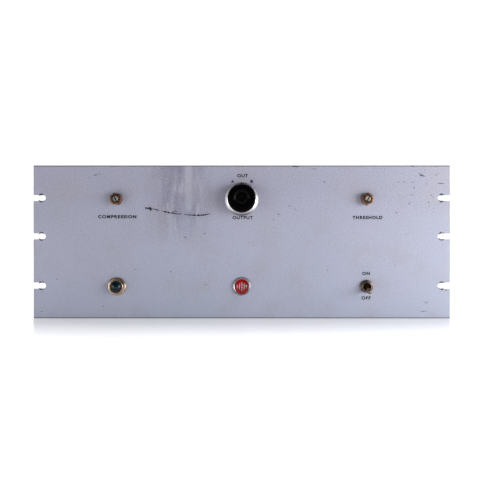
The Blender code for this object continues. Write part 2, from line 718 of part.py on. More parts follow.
def build_rear(bakelite):
    rear = bpy.data.objects.new("rear_seat", None)
    bpy.context.scene.collection.objects.link(rear)
    rear.location = (0, CHASSIS_REAR + GAP, REAR_ROW)
    rear.rotation_euler = (-math.pi / 2, 0, 0)  # its +Z points out of the rear apron

    length = STRIP_TERMINALS * STRIP_PITCH + 0.0160
    base_height, barrier_height, barrier = 0.0070, 0.0140, 0.0016
    strip = add("terminal_strip", block(length, 0.0220, 0, base_height), bakelite, rear, (STRIP_AT, 0, 0))
    walls = []
    for i in range(STRIP_TERMINALS + 1):
        at = (i - STRIP_TERMINALS / 2) * STRIP_PITCH
        walls.append(block(barrier, 0.0200, base_height - 0.0010, barrier_height, at))
    boolean(strip, "UNION", together(*walls))

    holder_bore, flange = 0.0046, 0.0088
    holder = [
        (holder_bore, -0.0380), (0.0062, -0.0380), (0.0062, 0), (flange, 0), (flange, 0.0022),
        (0.0076, 0.0030), (holder_bore, 0.0030),
    ]  # fmt: skip
    add("fuse_holder", turned(holder, 24), bakelite, rear, (FUSE_AT, 0, 0))
    cap_low, cap_top, fuse = 0.0030 + GAP, 0.0150, 0.0034
    cap = [
        (0, -0.0340), (fuse, -0.0340), (fuse, cap_low), (0.0071, cap_low), (0.0071, cap_top - 0.0010),
        (0.0062, cap_top), (0, cap_top),
    ]  # fmt: skip
    add("fuse_cap", turned(cap, 22), bakelite, rear, (FUSE_AT, 0, 0))

    plate = loft([rounded_ring(0.0440, 0.0280, 0.0040, z) for z in (0, 0.0020)])
    inlet = add("mains_inlet", plate, bakelite, rear, (INLET_AT, 0, 0))
    floor, mouth = 0.0040, 0.0180
    shell = prism(rounded(0.0300, 0.0200, 0.0030), 0.0010, mouth)
    boolean(inlet, "UNION", shell)
    boolean(inlet, "DIFFERENCE", prism(rounded(0.0250, 0.0150, 0.0020), floor, mouth + 0.0010))
    blades = [block(0.0016, 0.0064, floor - 0.0010, mouth - 0.0030, side * 0.0062) for side in (-1, 1)]
    boolean(inlet, "UNION", together(*blades))


def build_harness(name, points, cloth):
    """A laced bundle of wires from a control down through its grommet to the board."""
    curve = bpy.data.curves.new(name, "CURVE")
    curve.dimensions = "3D"
    curve.bevel_depth = 0.0022
    curve.bevel_resolution = 2
    curve.use_fill_caps = True
    path = smooth_route(points, 0.0100)
    spline = curve.splines.new("POLY")
    spline.points.add(len(path) - 1)
    for point, place in zip(spline.points, path):
        point.co = (*place, 1.0)
    curve.materials.append(cloth)
    obj = bpy.data.objects.new(name, curve)
    bpy.context.scene.collection.objects.link(obj)


def build_harnesses(cloth):
    over = BOARD_HEIGHT + SHEET + 0.0050
    x, y = GROMMETS_AT["compression"]
    route = [
        (-CONTROL_SPREAD, 0.0145, UPPER_ROW - 0.0250), (-CONTROL_SPREAD, 0.0170, UPPER_ROW - 0.0360),
        (-0.140, 0.028, 0.085),
        (x, y, 0.070), (x, y, 0.058), (-0.122, 0.046, over + 0.003), (-0.105, 0.066, over),
        (-0.085, 0.085, over),
    ]  # fmt: skip
    build_harness("compression_harness", route, cloth)
    x, y = GROMMETS_AT["selector"]
    route = [
        (0.004, 0.0310, UPPER_ROW - 0.0225), (0.006, 0.0350, UPPER_ROW - 0.0330), (0.018, 0.045, 0.090),
        (x, y, 0.072), (x, y, 0.058),
        (0.024, 0.062, over + 0.002), (0.010, 0.080, over), (-0.010, 0.095, over),
    ]  # fmt: skip
    build_harness("selector_harness", route, cloth)
    x, y = GROMMETS_AT["threshold"]
    route = [
        (CONTROL_SPREAD, 0.0145, UPPER_ROW - 0.0250), (CONTROL_SPREAD, 0.0170, UPPER_ROW - 0.0360),
        (0.136, 0.028, 0.085),
        (x, y, 0.070), (x, y, 0.058), (0.108, 0.042, over + 0.003), (0.075, 0.056, over),
        (0.035, 0.082, over),
    ]  # fmt: skip
    build_harness("threshold_harness", route, cloth)


def main():
    clear_scene()
    paint = finish("panel_paint", (0.33, 0.35, 0.43), 0.45, 0.3)
    sheet = finish("chassis_sheet", (0.62, 0.62, 0.60), 0.45, 0.9)
    spun = finish("spun_aluminium", (0.80, 0.80, 0.80), 0.25, 1.0)
    nickel = finish("nickel_plate", (0.60, 0.57, 0.50), 0.25, 1.0)
    steel = finish("zinc_steel", (0.55, 0.55, 0.55), 0.35, 1.0)
    brass = finish("aged_brass", (0.36, 0.24, 0.13), 0.4, 1.0)
    silver = finish("badge_silver", (0.70, 0.70, 0.70), 0.25, 1.0)
    enamel = finish("red_enamel", (0.50, 0.01, 0.01), 0.2)
    bakelite = finish("black_bakelite", (0.01, 0.01, 0.012), 0.3)
    phenolic = finish("brown_phenolic", (0.23, 0.11, 0.04), 0.5)
    iron = finish("lamination_iron", (0.09, 0.09, 0.09), 0.6, 0.5)
    black = finish("black_enamel", (0.02, 0.02, 0.02), 0.4)
    tape = finish("winding_tape", (0.60, 0.50, 0.28), 0.7)
    jewel_glass = finish("jewel_glass", (0.01, 0.09, 0.10), 0.05)
    bulb_glass = finish("bulb_glass", (0.75, 0.78, 0.78), 0.05)
    can_metal = finish("capacitor_can", (0.70, 0.70, 0.68), 0.35, 1.0)
    cloth = finish("harness_cloth", (0.25, 0.20, 0.14), 0.8)

    build_panel(paint, silver, enamel)
    build_lamp(nickel, jewel_glass, bulb_glass, bakelite)
    build_selector(bakelite, spun, steel, brass, phenolic)
    build_trimmer(
        "compression", -CONTROL_SPREAD, math.radians(24), math.radians(45), math.radians(14), nickel, brass,
        can_metal,
    )
    build_trimmer(
        "threshold", CONTROL_SPREAD, math.radians(-33), math.radians(-7), math.radians(-2), nickel, brass,
        can_metal,
    )
    build_toggle(bakelite, nickel, brass)
    build_chassis(sheet)
    build_brackets(sheet)
    build_transformers(iron, black, tape, can_metal)
    build_capacitors_and_tubes(can_metal, bulb_glass, spun)
    build_board(phenolic)
    build_rear(bakelite)
    build_harnesses(cloth)


main()
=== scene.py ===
"""The rack compressor's looks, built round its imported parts, in the order it is put together."""

import json
import math
import random

import bmesh
import bpy
from mathutils import Matrix, Vector


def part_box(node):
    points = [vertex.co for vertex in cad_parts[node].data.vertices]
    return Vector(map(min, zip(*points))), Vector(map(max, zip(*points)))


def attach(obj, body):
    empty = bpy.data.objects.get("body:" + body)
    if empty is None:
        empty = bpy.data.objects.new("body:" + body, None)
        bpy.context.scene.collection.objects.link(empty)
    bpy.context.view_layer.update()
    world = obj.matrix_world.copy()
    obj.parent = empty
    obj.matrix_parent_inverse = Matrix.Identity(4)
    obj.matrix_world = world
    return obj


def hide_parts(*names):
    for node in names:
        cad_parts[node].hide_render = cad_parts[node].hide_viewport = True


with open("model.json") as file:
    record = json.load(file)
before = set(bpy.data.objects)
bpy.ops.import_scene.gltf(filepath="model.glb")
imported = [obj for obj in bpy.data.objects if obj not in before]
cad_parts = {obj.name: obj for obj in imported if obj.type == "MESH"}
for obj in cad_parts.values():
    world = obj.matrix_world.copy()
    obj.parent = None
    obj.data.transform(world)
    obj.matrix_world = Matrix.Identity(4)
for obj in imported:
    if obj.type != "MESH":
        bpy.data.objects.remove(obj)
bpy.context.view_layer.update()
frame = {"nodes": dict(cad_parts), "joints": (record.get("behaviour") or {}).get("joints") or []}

# ---------------------------------------------------------------- the room
# A white sweep, lit by two soft boxes at the sides. The floor is a glossy white sheet. The camera
# stands level, in front of the middle of the panel.
scene = bpy.context.scene
scene.view_settings.view_transform = "Standard"

camera_data = bpy.data.cameras.new("camera")
camera_data.angle = math.radians(43.34)
camera = bpy.data.objects.new("camera", camera_data)
camera.location = (-0.0020, -0.7016, 0.0906)
camera.rotation_euler = (math.pi / 2, 0, 0)
scene.collection.objects.link(camera)
scene.camera = camera


def node(tree, kind, inputs=None, **settings):
    """Adds a shader node, sets its properties, and fills or links its inputs."""
    made = tree.nodes.new(kind)
    for key, value in settings.items():
        setattr(made, key, value)
    for key, value in (inputs or {}).items():
        if isinstance(value, bpy.types.NodeSocket):
            tree.links.new(value, made.inputs[key])
        else:
            made.inputs[key].default_value = value
    return made


def maths(tree, operation, *values, **settings):
    """A sum of one to three values; gives its result."""
    return node(tree, "ShaderNodeMath", dict(enumerate(values)), operation=operation, **settings).outputs[0]


def own_place(tree):
    """Where a point lies in its object's own space."""
    return node(tree, "ShaderNodeTexCoord").outputs["Object"]


def soft_box(name, place, aim, size, power):
    """A square light that points at a spot."""
    data = bpy.data.lights.new(name, "AREA")
    data.shape = "RECTANGLE"
    data.size, data.size_y = size
    data.energy = power
    light = bpy.data.objects.new(name, data)
    light.location = place
    light.rotation_euler = (Vector(aim) - Vector(place)).to_track_quat("-Z", "Y").to_euler()
    scene.collection.objects.link(light)


soft_box("right_soft_box", (0.76, -0.50, 0.13), (0.17, 0, 0.05), (0.75, 0.42), 7.3)
soft_box("left_soft_box", (-0.95, -0.75, 0.13), (-0.05, 0, 0.05), (0.5, 0.32), 2.15)
soft_box("top_soft_box", (0.0, 0.55, 1.10), (0, 0.08, 0.05), (0.9, 0.7), 7)

world = bpy.data.worlds.new("white_room")
world.use_nodes = True
scene.world = world
sky = world.node_tree
sky.nodes.clear()
axes = node(sky, "ShaderNodeSeparateXYZ", {0: node(sky, "ShaderNodeTexCoord").outputs["Generated"]}).outputs
sideways = maths(sky, "ABSOLUTE", axes["X"])
walls = maths(sky, "MULTIPLY_ADD", sideways, 0.5, axes["Y"])
below_ceiling = maths(sky, "MULTIPLY_ADD", axes["Z"], -0.3, walls)
behind = node(sky, "ShaderNodeMapRange", {"Value": below_ceiling, 1: -0.05, 2: 0.5, 3: 0.03, 4: 1.1})
seen = node(sky, "ShaderNodeLightPath").outputs["Is Camera Ray"]
strength = node(sky, "ShaderNodeMix", {0: seen, 2: behind.outputs[0], 3: 1.05})
back_light = node(sky, "ShaderNodeBackground", {"Color": (1, 1, 1, 1), "Strength": strength.outputs[0]})
node(sky, "ShaderNodeOutputWorld", {"Surface": back_light.outputs[0]})

floor_mesh = bpy.data.meshes.new("floor")
sweep = 6.0
floor_mesh.from_pydata(
    [(sweep * x, sweep * y, 0) for x, y in ((-1, -1), (1, -1), (1, 1), (-1, 1))], [], [(0, 1, 2, 3)]
)
floor = bpy.data.objects.new("floor", floor_mesh)
floor.location.z = -0.0002
scene.collection.objects.link(floor)
floor_white = bpy.data.materials.new("floor_white")
floor_white.use_nodes = True
floor_shader = floor_white.node_tree.nodes["Principled BSDF"]
floor_shader.inputs["Base Color"].default_value = (0.88, 0.88, 0.90, 1)
floor_shader.inputs["Roughness"].default_value = 0.16
floor_shader.inputs["Specular IOR Level"].default_value = 0.5
floor_shader.inputs["Emission Color"].default_value = (1, 1, 1, 1)
# The sheet glows a little so that it reads white, and glows less close to the panel: a painted shadow of
# the panel on the floor, fading out the further the sheet lies in front of it
forward = node(
    floor_white.node_tree, "ShaderNodeSeparateXYZ", {0: own_place(floor_white.node_tree)}
).outputs["Y"]
glow_and_painted_shadow = node(
    floor_white.node_tree, "ShaderNodeMapRange", {"Value": forward, 1: -0.04, 2: -0.20, 3: 0.31, 4: 0.65}
)
floor_white.node_tree.links.new(glow_and_painted_shadow.outputs[0], floor_shader.inputs["Emission Strength"])
floor_mesh.materials.append(floor_white)

# ---------------------------------------------------------------- front panel
# An eighth-inch aluminium plate, blanked and slotted, sprayed silver grey and stoved. Years of
# racking have worn its slots, and water has run down it from the top edge.
panel_low, panel_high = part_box("front_panel")
face = panel_low.y


def new_group(name, inputs, outputs):
    """An empty shader group with its sockets; gives the tree and its two ends."""
    tree = bpy.data.node_groups.new(name, "ShaderNodeTree")
    kinds = {"value": "NodeSocketFloat", "colour": "NodeSocketColor", "vector": "NodeSocketVector"}
    for socket, (kind, start) in inputs.items():
        made = tree.interface.new_socket(socket, in_out="INPUT", socket_type=kinds[kind])
        if start is not None:
            made.default_value = start
    for socket, kind in outputs.items():
        tree.interface.new_socket(socket, in_out="OUTPUT", socket_type=kinds[kind])
    return tree, node(tree, "NodeGroupInput").outputs, node(tree, "NodeGroupOutput").inputs


def place_group(material, group, **values):
    """Puts a group into a material with its own values; gives the group's outputs."""
    placed = node(material.node_tree, "ShaderNodeGroup", node_tree=group)
    for name, value in values.items():
        socket = placed.inputs[name.replace("_", " ")]
        if isinstance(value, bpy.types.NodeSocket):
            material.node_tree.links.new(value, socket)
        else:
            socket.default_value = value
    return placed.outputs


def blotch_group():
    """Soft patches: a coarse noise broken up by a fine one, cut at a coverage."""
    tree, given, result = new_group(
        "patches",
        {
            "Scale": ("value", 60.0), "Coverage": ("value", 0.5), "Softness": ("value", 0.15),
            "Shift": ("value", 0.0),
        },
        {"Mask": "value", "Grain": "value"},
    )
    moved = node(
        tree, "ShaderNodeVectorMath", {0: own_place(tree), 1: given["Shift"]}, operation="ADD"
    ).outputs[0]
    coarse = node(
        tree, "ShaderNodeTexNoise",
        {"Vector": moved, "Scale": given["Scale"], "Detail": 6.0, "Roughness": 0.62}
    )
    fine_scale = maths(tree, "MULTIPLY", given["Scale"], 7.0)
    fine = node(tree, "ShaderNodeTexNoise", {"Vector": moved, "Scale": fine_scale, "Detail": 3.0})
    both = maths(tree, "MULTIPLY_ADD", fine.outputs[0], 0.25, coarse.outputs[0])
    level = maths(tree, "SUBTRACT", 1.125, given["Coverage"])
    low, high = (maths(tree, way, level, given["Softness"]) for way in ("SUBTRACT", "ADD"))
    mask = node(
        tree, "ShaderNodeMapRange", {"Value": both, 1: low, 2: high}, interpolation_type="SMOOTHSTEP"
    )
    tree.links.new(mask.outputs[0], result["Mask"])
    tree.links.new(fine.outputs[0], result["Grain"])
    return tree


def edge_group():
    """Bare edges: where a rounded normal leaves the true one, broken up by noise."""
    tree, given, result = new_group(
        "edge_wear", {"Width": ("value", 0.0006), "Amount": ("value", 0.5), "Scale": ("value", 300.0)},
        {"Mask": "value"}
    )
    rounded = node(tree, "ShaderNodeBevel", {"Radius": given["Width"]}, samples=4)
    flat = node(tree, "ShaderNodeNewGeometry").outputs["Normal"]
    agree = node(tree, "ShaderNodeVectorMath", {0: rounded.outputs[0], 1: flat}, operation="DOT_PRODUCT")
    bend = maths(tree, "SUBTRACT", 1.0, agree.outputs["Value"])
    noise = node(
        tree, "ShaderNodeTexNoise", {"Vector": own_place(tree), "Scale": given["Scale"], "Detail": 5.0}
    )
    gate = node(tree, "ShaderNodeMapRange", {"Value": noise.outputs[0], 1: 0.65, 2: 0.35, 3: 0.0, 4: 14.0})
    strong = maths(tree, "MULTIPLY", bend, gate.outputs[0])
    tree.links.new(maths(tree, "MULTIPLY", strong, given["Amount"], use_clamp=True), result["Mask"])
    return tree


patches = blotch_group()
edge_wear = edge_group()


def new_finish(name, colour, roughness, metallic=0.0, **plain):
    """A material of one colour; what is the same all over sits on its shader's own sockets."""
    material = bpy.data.materials.new(name)
    material.use_nodes = True
    shader = material.node_tree.nodes["Principled BSDF"]
    values = {"Base Color": (*colour, 1.0), "Roughness": roughness, "Metallic": metallic}
    values.update({key.replace("_", " "): value for key, value in plain.items()})
    for key, value in values.items():
        shader.inputs[key].default_value = value
    return material


def shade(material, socket, value):
    """Feeds one of the shader's sockets."""
    material.node_tree.links.new(value, material.node_tree.nodes["Principled BSDF"].inputs[socket])


def blend_colour(material, mask, below, above):
    """The colour above over the colour below, by a mask."""
    inputs = {0: mask}
    for key, value in ((6, below), (7, above)):
        inputs[key] = value if isinstance(value, bpy.types.NodeSocket) else (*value, 1.0)
    return node(material.node_tree, "ShaderNodeMix", inputs, data_type="RGBA").outputs[2]


def between(material, value, low, high, start=0.0, stop=1.0):
    """Maps a mask onto a range of values."""
    inputs = {"Value": value, 1: start, 2: stop, 3: low, 4: high}
    return node(material.node_tree, "ShaderNodeMapRange", inputs).outputs[0]


def mottled(name, dark, light, roughness, scale, coverage=0.5, softness=0.3, **plain):
    """A finish whose colour drifts from one to another in patches; gives it and its patches."""
    material = new_finish(name, dark, roughness, **plain)
    drift = place_group(material, patches, Scale=scale, Coverage=coverage, Softness=softness)
    shade(material, "Base Color", blend_colour(material, drift["Mask"], dark, light))
    return material, drift


def roughen(material, height, distance, strength=0.5):
    """Turns a height over the surface into a bump."""
    bump = node(
        material.node_tree, "ShaderNodeBump", {"Strength": strength, "Distance": distance, "Height": height}
    )
    shade(material, "Normal", bump.outputs[0])


def aside(tree, value, middle):
    """How far a value lies from a middle."""
    return maths(tree, "ABSOLUTE", maths(tree, "SUBTRACT", value, middle))


def panel_enamel():
    material = new_finish("panel_enamel", (0.33, 0.35, 0.43), 0.42, 0.0, Specular_IOR_Level=0.5)
    tree = material.node_tree
    place = own_place(tree)
    axes = node(tree, "ShaderNodeSeparateXYZ", {0: place}).outputs

    # The paint is darker towards the top and lighter and bluer towards the bottom: painted shade at the top
    # and painted light at the bottom, for how the light falls on the panel
    clouds = place_group(material, patches, Scale=9.0, Coverage=0.55, Softness=0.3, Shift=0.7)
    upper = blend_colour(material, clouds["Mask"], (0.318, 0.328, 0.436), (0.346, 0.345, 0.458))
    lower = blend_colour(material, clouds["Mask"], (0.412, 0.456, 0.585), (0.446, 0.468, 0.610))
    height = between(material, axes["Z"], 0.0, 1.0, 0.010, 0.150)
    colour = blend_colour(material, height, lower, upper)

    # Water stains: a tall patch under the top edge, left of the knob, streaked downwards
    squeezed = node(tree, "ShaderNodeMapping", {"Vector": place, "Scale": (1.0, 1.0, 0.22)})
    streaks = node(
        tree, "ShaderNodeTexNoise",
        {"Vector": squeezed.outputs[0], "Scale": 95.0, "Detail": 5.0, "Roughness": 0.6},
    )
    stain_x = -0.074
    near = between(material, aside(tree, axes["X"], stain_x), 1.0, 0.0, 0.012, 0.042)
    below_edge = between(material, axes["Z"], 0.0, 1.0, 0.084, 0.128)
    in_front = between(material, axes["Y"], 1.0, 0.0, -0.0006, 0.0)
    region = maths(tree, "MULTIPLY", maths(tree, "MULTIPLY", near, below_edge), in_front)
    broken = between(material, streaks.outputs[0], 0.35, 1.0, 0.38, 0.60)
    colour = blend_colour(material, maths(tree, "MULTIPLY", region, broken), colour, (0.185, 0.185, 0.270))
    drips = node(tree, "ShaderNodeTexNoise", {"Vector": squeezed.outputs[0], "Scale": 150.0, "Detail": 3.0})
    chalk = maths(tree, "MULTIPLY", region, between(material, drips.outputs[0], 0.0, 0.55, 0.57, 0.70))
    colour = blend_colour(material, chalk, colour, (0.52, 0.52, 0.62))

    # Paler runs where the water dried, each with its middle, half its width, its bottom and its top
    bend = node(tree, "ShaderNodeTexNoise", {"Vector": place, "Scale": 70.0, "Detail": 4.0})
    wavy = maths(tree, "MULTIPLY_ADD", bend.outputs[0], 0.006, axes["X"])
    runs = (
        (-0.0660, 0.0020, 0.145, 0.158), (-0.0585, 0.0048, 0.124, 0.190),
        (-0.0742, 0.0012, 0.101, 0.117), (-0.0742, 0.0018, 0.146, 0.155),
    )  # fmt: skip
    for middle, half, bottom, top in runs:
        run = between(material, aside(tree, wavy, middle), 0.5, 0.0, half * 0.5, half * 1.2)
        for limit, reach in ((bottom, 0.003), (top, -0.003)):
            inside = between(material, axes["Z"], 0.0, 1.0, limit - reach, limit + reach)
            run = maths(tree, "MULTIPLY", run, inside)
        run = maths(tree, "MULTIPLY", run, in_front)
        colour = blend_colour(material, run, colour, (0.47, 0.48, 0.58))

    # Thin specks all over, and dust
    specks = place_group(material, patches, Scale=230.0, Coverage=0.262, Softness=0.02, Shift=3.1)
    colour = blend_colour(
        material, between(material, specks["Mask"], 0.0, 0.55), colour, (0.12, 0.11, 0.13)
    )
    blooms = place_group(material, patches, Scale=26.0, Coverage=0.42, Softness=0.14, Shift=5.3)
    colour = blend_colour(
        material, between(material, blooms["Mask"], 0.0, 0.40), colour, (0.335, 0.325, 0.365)
    )
    dust = node(
        tree, "ShaderNodeTexNoise", {"Vector": place, "Scale": 620.0, "Detail": 4.0, "Roughness": 0.75}
    )
    colour = blend_colour(
        material, between(material, dust.outputs[0], 0.0, 0.65, 0.46, 0.70), colour, (0.50, 0.490, 0.54)
    )
    colour = blend_colour(
        material, between(material, dust.outputs[0], 0.6, 0.0, 0.32, 0.47), colour, (0.23, 0.24, 0.32)
    )

    # Along the bottom edge the paint is darkened: a painted shadow where the panel meets the floor. Along
    # the top edge it is darkened too
    painted_floor_shadow = between(material, axes["Z"], 0.85, 0.0, 0.0007, 0.0013)
    high_edge = between(material, axes["Z"], 0.0, 0.8, 0.1754, 0.1762)
    colour = blend_colour(
        material, maths(tree, "MAXIMUM", painted_floor_shadow, high_edge), colour, (0.060, 0.058, 0.066)
    )

    bare = place_group(material, edge_wear, Width=0.0009, Amount=1.0, Scale=180.0)["Mask"]
    colour = blend_colour(material, bare, colour, (0.20, 0.19, 0.19))
    shade(material, "Base Color", colour)
    shade(material, "Roughness", between(material, clouds["Grain"], 0.34, 0.52))
    roughen(material, clouds["Grain"], 0.00012, 0.25)
    return material


def clean_copy(source):
    """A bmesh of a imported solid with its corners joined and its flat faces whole."""
    shape = bmesh.new()
    shape.from_mesh(frame["nodes"][source].data)
    bmesh.ops.remove_doubles(shape, verts=shape.verts, dist=1e-6)
    bmesh.ops.dissolve_limit(shape, angle_limit=math.radians(0.5), verts=shape.verts, edges=shape.edges)
    return shape


def piece(name, shape, finish, body="frame", matrix=None, crease=40, replaces=None):
    """Makes a bmesh a named piece in one finish that moves with a body."""
    mesh = bpy.data.meshes.new(name)
    if matrix is not None:
        bmesh.ops.transform(shape, matrix=matrix, verts=shape.verts)
    shape.to_mesh(mesh)
    shape.free()
    mesh.materials.append(finish)
    mesh.shade_smooth()
    mesh.set_sharp_from_angle(angle=math.radians(crease))
    made = bpy.data.objects.new(name, mesh)
    scene.collection.objects.link(made)
    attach(made, body)
    if replaces:
        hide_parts(replaces)
    return made


def ease(made, width, segments=2, angle=35):
    """Rounds a piece's sharp edges."""
    bevel = made.modifiers.new("edges", "BEVEL")
    bevel.width = width
    bevel.segments = segments
    bevel.limit_method = "ANGLE"
    bevel.angle_limit = math.radians(angle)
    bevel.miter_outer = "MITER_ARC"
    return made


enamel_grey = panel_enamel()
ease(
    piece(
        "panel_plate", clean_copy("front_panel"), enamel_grey, replaces="front_panel"
    ),
    0.00035
)

# ---------------------------------------------------------------- marks on the panel
# Damage to the stoved paint: a long dark scrape between the left trimmer and the knob, chips along
# the top edge, scuffs by the rack slots and a few small nicks. Each is a skin of dirt in the paint.
dirt, _ = mottled("scrape_dirt", (0.006, 0.005, 0.007), (0.036, 0.030, 0.036), 0.7, 420.0, softness=0.2)
skin = 0.00004  # how far a mark or a print stands proud of the paint
chamfer_at = panel_high.z - 0.0003  # the marks stop where the top edge is rounded


def ribbon(shape, points, wander):
    """Lays a ragged strip of dirt on the panel's face along points of (x, z, width)."""
    rows = []
    for (x0, z0, w0), (x1, z1, w1) in zip(points, points[1:]):
        steps = max(2, round(math.dist((x0, z0), (x1, z1)) / 0.0007))
        for i in range(steps + (points[-1] == (x1, z1, w1))):
            t = i / steps
            x, z = x0 + (x1 - x0) * t, z0 + (z1 - z0) * t
            width = (w0 + (w1 - w0) * t) * wander.uniform(0.35, 1.7) / 2
            z += wander.uniform(-0.22, 0.22) * width
            rows.append([(x, z - width), (x, min(z + width, chamfer_at))])
    lower = [[shape.verts.new((x, face - skin * 0.2, z)) for x, z in row] for row in rows]
    upper = [[shape.verts.new((x, face - skin, z)) for x, z in row] for row in rows]
    for a, b, c, d in zip(lower, lower[1:], upper, upper[1:]):
        shape.faces.new((c[0], d[0], d[1], c[1]))
        shape.faces.new((a[0], a[1], b[1], b[0]))
        shape.faces.new((a[0], b[0], d[0], c[0]))
        shape.faces.new((a[1], c[1], d[1], b[1]))
    for a, c in ((lower[0], upper[0]), (lower[-1], upper[-1])):
        shape.faces.new((a[0], c[0], c[1], a[1]))
    bmesh.ops.recalc_face_normals(shape, faces=shape.faces)


def millimetres(*points):
    return [tuple(value / 1000 for value in point) for point in points]


scrapes = {
    "long_scrape": (
        millimetres((-112.0, 128.0, 1.4), (-109.5, 127.4, 3.4), (-105.5, 126.8, 3.0), (-103.0, 126.3, 0.9)),
        millimetres((-102.5, 126.8, 1.0), (-98.5, 125.6, 1.3), (-96.0, 124.8, 0.8)),
        millimetres(
            (-92.5, 124.4, 0.8), (-87.0, 122.9, 1.4), (-82.0, 121.8, 1.9), (-77.0, 121.3, 1.2),
            (-70.5, 120.6, 0.9),
        ),
        millimetres((-80.5, 122.6, 0.9), (-77.5, 124.6, 1.1), (-74.0, 123.0, 0.8)),
        millimetres(
            (-67.0, 120.3, 0.7), (-58.0, 119.3, 1.1), (-50.0, 119.2, 1.5), (-43.0, 119.6, 1.5),
            (-37.0, 121.0, 0.7),
        ),
    ),
    "left_scuff": (
        millimetres((-171.5, 165.2, 0.4), (-169.0, 166.2, 0.9), (-166.6, 166.0, 0.3)),
        millimetres((-165.8, 166.8, 1.0), (-164.4, 166.6, 0.6)),
        millimetres((-179.0, 162.6, 0.2), (-176.2, 162.9, 0.5)),
    ),
    "right_scuff": (
        millimetres((205.0, 168.2, 0.5), (207.5, 166.6, 1.1), (210.6, 164.8, 0.9), (212.8, 164.4, 0.4)),
        millimetres((206.0, 165.8, 0.4), (208.4, 164.9, 0.6)),
        millimetres((226.5, 156.3, 0.3), (231.0, 156.0, 0.7), (235.0, 156.4, 0.3)),
        millimetres((187.5, 158.2, 1.0), (189.5, 157.6, 0.4)),
        millimetres((196.5, 157.9, 0.6), (198.0, 157.2, 0.3)),
    ),
    "low_nicks": (
        millimetres((-216.4, 13.6, 0.8), (-216.2, 10.2, 0.6)),
        millimetres((-206.6, 7.4, 0.7), (-206.2, 6.4, 0.7)),
        millimetres((210.5, 20.2, 0.4), (213.2, 17.2, 0.9), (215.8, 19.0, 0.5)),
        millimetres((235.8, 32.6, 1.2), (237.8, 31.6, 0.6)),
        millimetres((207.6, 7.8, 0.3), (211.6, 7.9, 0.6), (215.0, 8.0, 0.3)),
        millimetres((-106.4, 28.4, 0.3), (-106.3, 24.2, 0.5)),
    ),
    "high_nicks": (
        millimetres((82.0, 173.3, 0.4), (84.6, 172.6, 1.0), (86.2, 173.4, 0.4)),
        millimetres((95.4, 158.2, 1.2), (96.8, 157.4, 0.5)),
        millimetres((53.6, 130.8, 0.5), (56.4, 129.0, 0.3)),
        millimetres((61.4, 126.8, 1.0), (62.6, 125.0, 0.4)),
        millimetres((176.6, 61.8, 0.9), (177.8, 61.0, 0.4)),
        millimetres((213.8, 127.4, 0.6), (214.8, 127.0, 0.3)),
    ),
}
wander = random.Random(7)
for name, strokes in scrapes.items():
    marks = bmesh.new()
    for stroke in strokes:
        ribbon(marks, stroke, wander)
    piece(name, marks, dirt)

# Small dark specks lie all over, and close together in the top right corner
specks = bmesh.new()
scatter = random.Random(5)
fields = (
    (30, (-0.225, 0.225), (0.010, 0.170)), (34, (0.165, 0.236), (0.120, 0.174)),
    (14, (-0.232, -0.190), (0.005, 0.070)),
)
for count, across, up in fields:
    for _ in range(count):
        x, z = scatter.uniform(*across), scatter.uniform(*up)
        reach = scatter.choice((0.0003, 0.0004, 0.0005, 0.0008))
        peak = (x, z + reach * scatter.uniform(-0.5, 0.5), reach * 1.3)
        ribbon(specks, [(x - reach, z, reach * 0.6), peak, (x + reach, z, reach * 0.5)], scatter)
piece("dark_specks", specks, dirt)


def half_moon(x, z, upward, radius):
    """A worn arc of dirt that a washer leaves along the inner end of a rack slot."""
    points = []
    for i in range(9):
        angle = math.radians(50 + 100 * i / 8) * (1 if upward else -1)
        width = 0.0016 * math.sin(math.radians(15 + 150 * i / 8))
        points.append((x + radius * math.cos(angle), z + radius * math.sin(angle), width))
    return points


slot_rows = (0.0377, 0.09485, 0.1393)
slot_end, washer_radius = 0.2318, 0.0042
washers = bmesh.new()
for z in slot_rows:
    for end in (-1, 1):
        for upward in (False, True):
            ribbon(washers, half_moon(end * slot_end, z, upward, washer_radius), wander)
piece("washer_marks", washers, dirt)

# Chips in the top edge, where bare metal has gone dark
chips = bmesh.new()
chipped_at = (
    (0.0625, 0.0085, 0.0014), (-0.1500, 0.0030, 0.0008), (0.0020, 0.0022, 0.0007), (0.1980, 0.0040, 0.0009)
)
for x, width, depth in chipped_at:
    shares = [i / 8 for i in range(9)]
    middle = panel_high.z - 0.0004 - depth / 2
    chip = [(x + width * (t - 0.5), middle, depth * math.sin(math.pi * (0.1 + 0.8 * t))) for t in shares]
    ribbon(chips, chip, wander)
piece("edge_chips", chips, dirt)

# ---------------------------------------------------------------- legends
# Black screen-printed words beside each control, in a wide plain letter, a little worn.
ink, _ = mottled(
    "black_ink", (0.002, 0.004, 0.005), (0.03, 0.03, 0.04), 0.6, 900.0, 0.24, 0.12, Specular_IOR_Level=0.2
)
cap_height = 0.0035


def legend(name, words, x, z, width, height=cap_height, y=face - skin, about=0.0):
    """Prints words of a stated width, centred on x and z, turned about the upright axis."""
    text = bpy.data.curves.new(name, "FONT")
    text.body = words
    text.align_x, text.align_y = "CENTER", "CENTER"
    text.size = height / 0.72
    text.offset = height * 0.07
    text.extrude = 0.00002
    text.resolution_u = 4
    text.space_character = 1.22
    text.materials.append(ink)
    made = bpy.data.objects.new(name, text)
    made.location = (x, y, z)
    made.rotation_euler = (math.pi / 2, 0, about)
    scene.collection.objects.link(made)
    bpy.context.view_layer.update()
    made.scale.x = width / made.dimensions.x
    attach(made, "frame")


legend("compression_legend", "COMPRESSION", -0.1442, 0.1174, 0.0445)
legend("threshold_legend", "THRESHOLD", 0.1458, 0.1165, 0.0348)
legend("output_legend", "OUTPUT", 0.0010, 0.1163, 0.0237)
legend("out_legend", "OUT", 0.0010, 0.1649, 0.0123)
legend("a_legend", "A", -0.0105, 0.1583, 0.0036, 0.0029)
legend("b_legend", "B", 0.0115, 0.1583, 0.0034, 0.0029)
legend("on_legend", "ON", 0.1441, 0.0516, 0.0090)
legend("off_legend", "OFF", 0.1440, 0.0232, 0.0108)

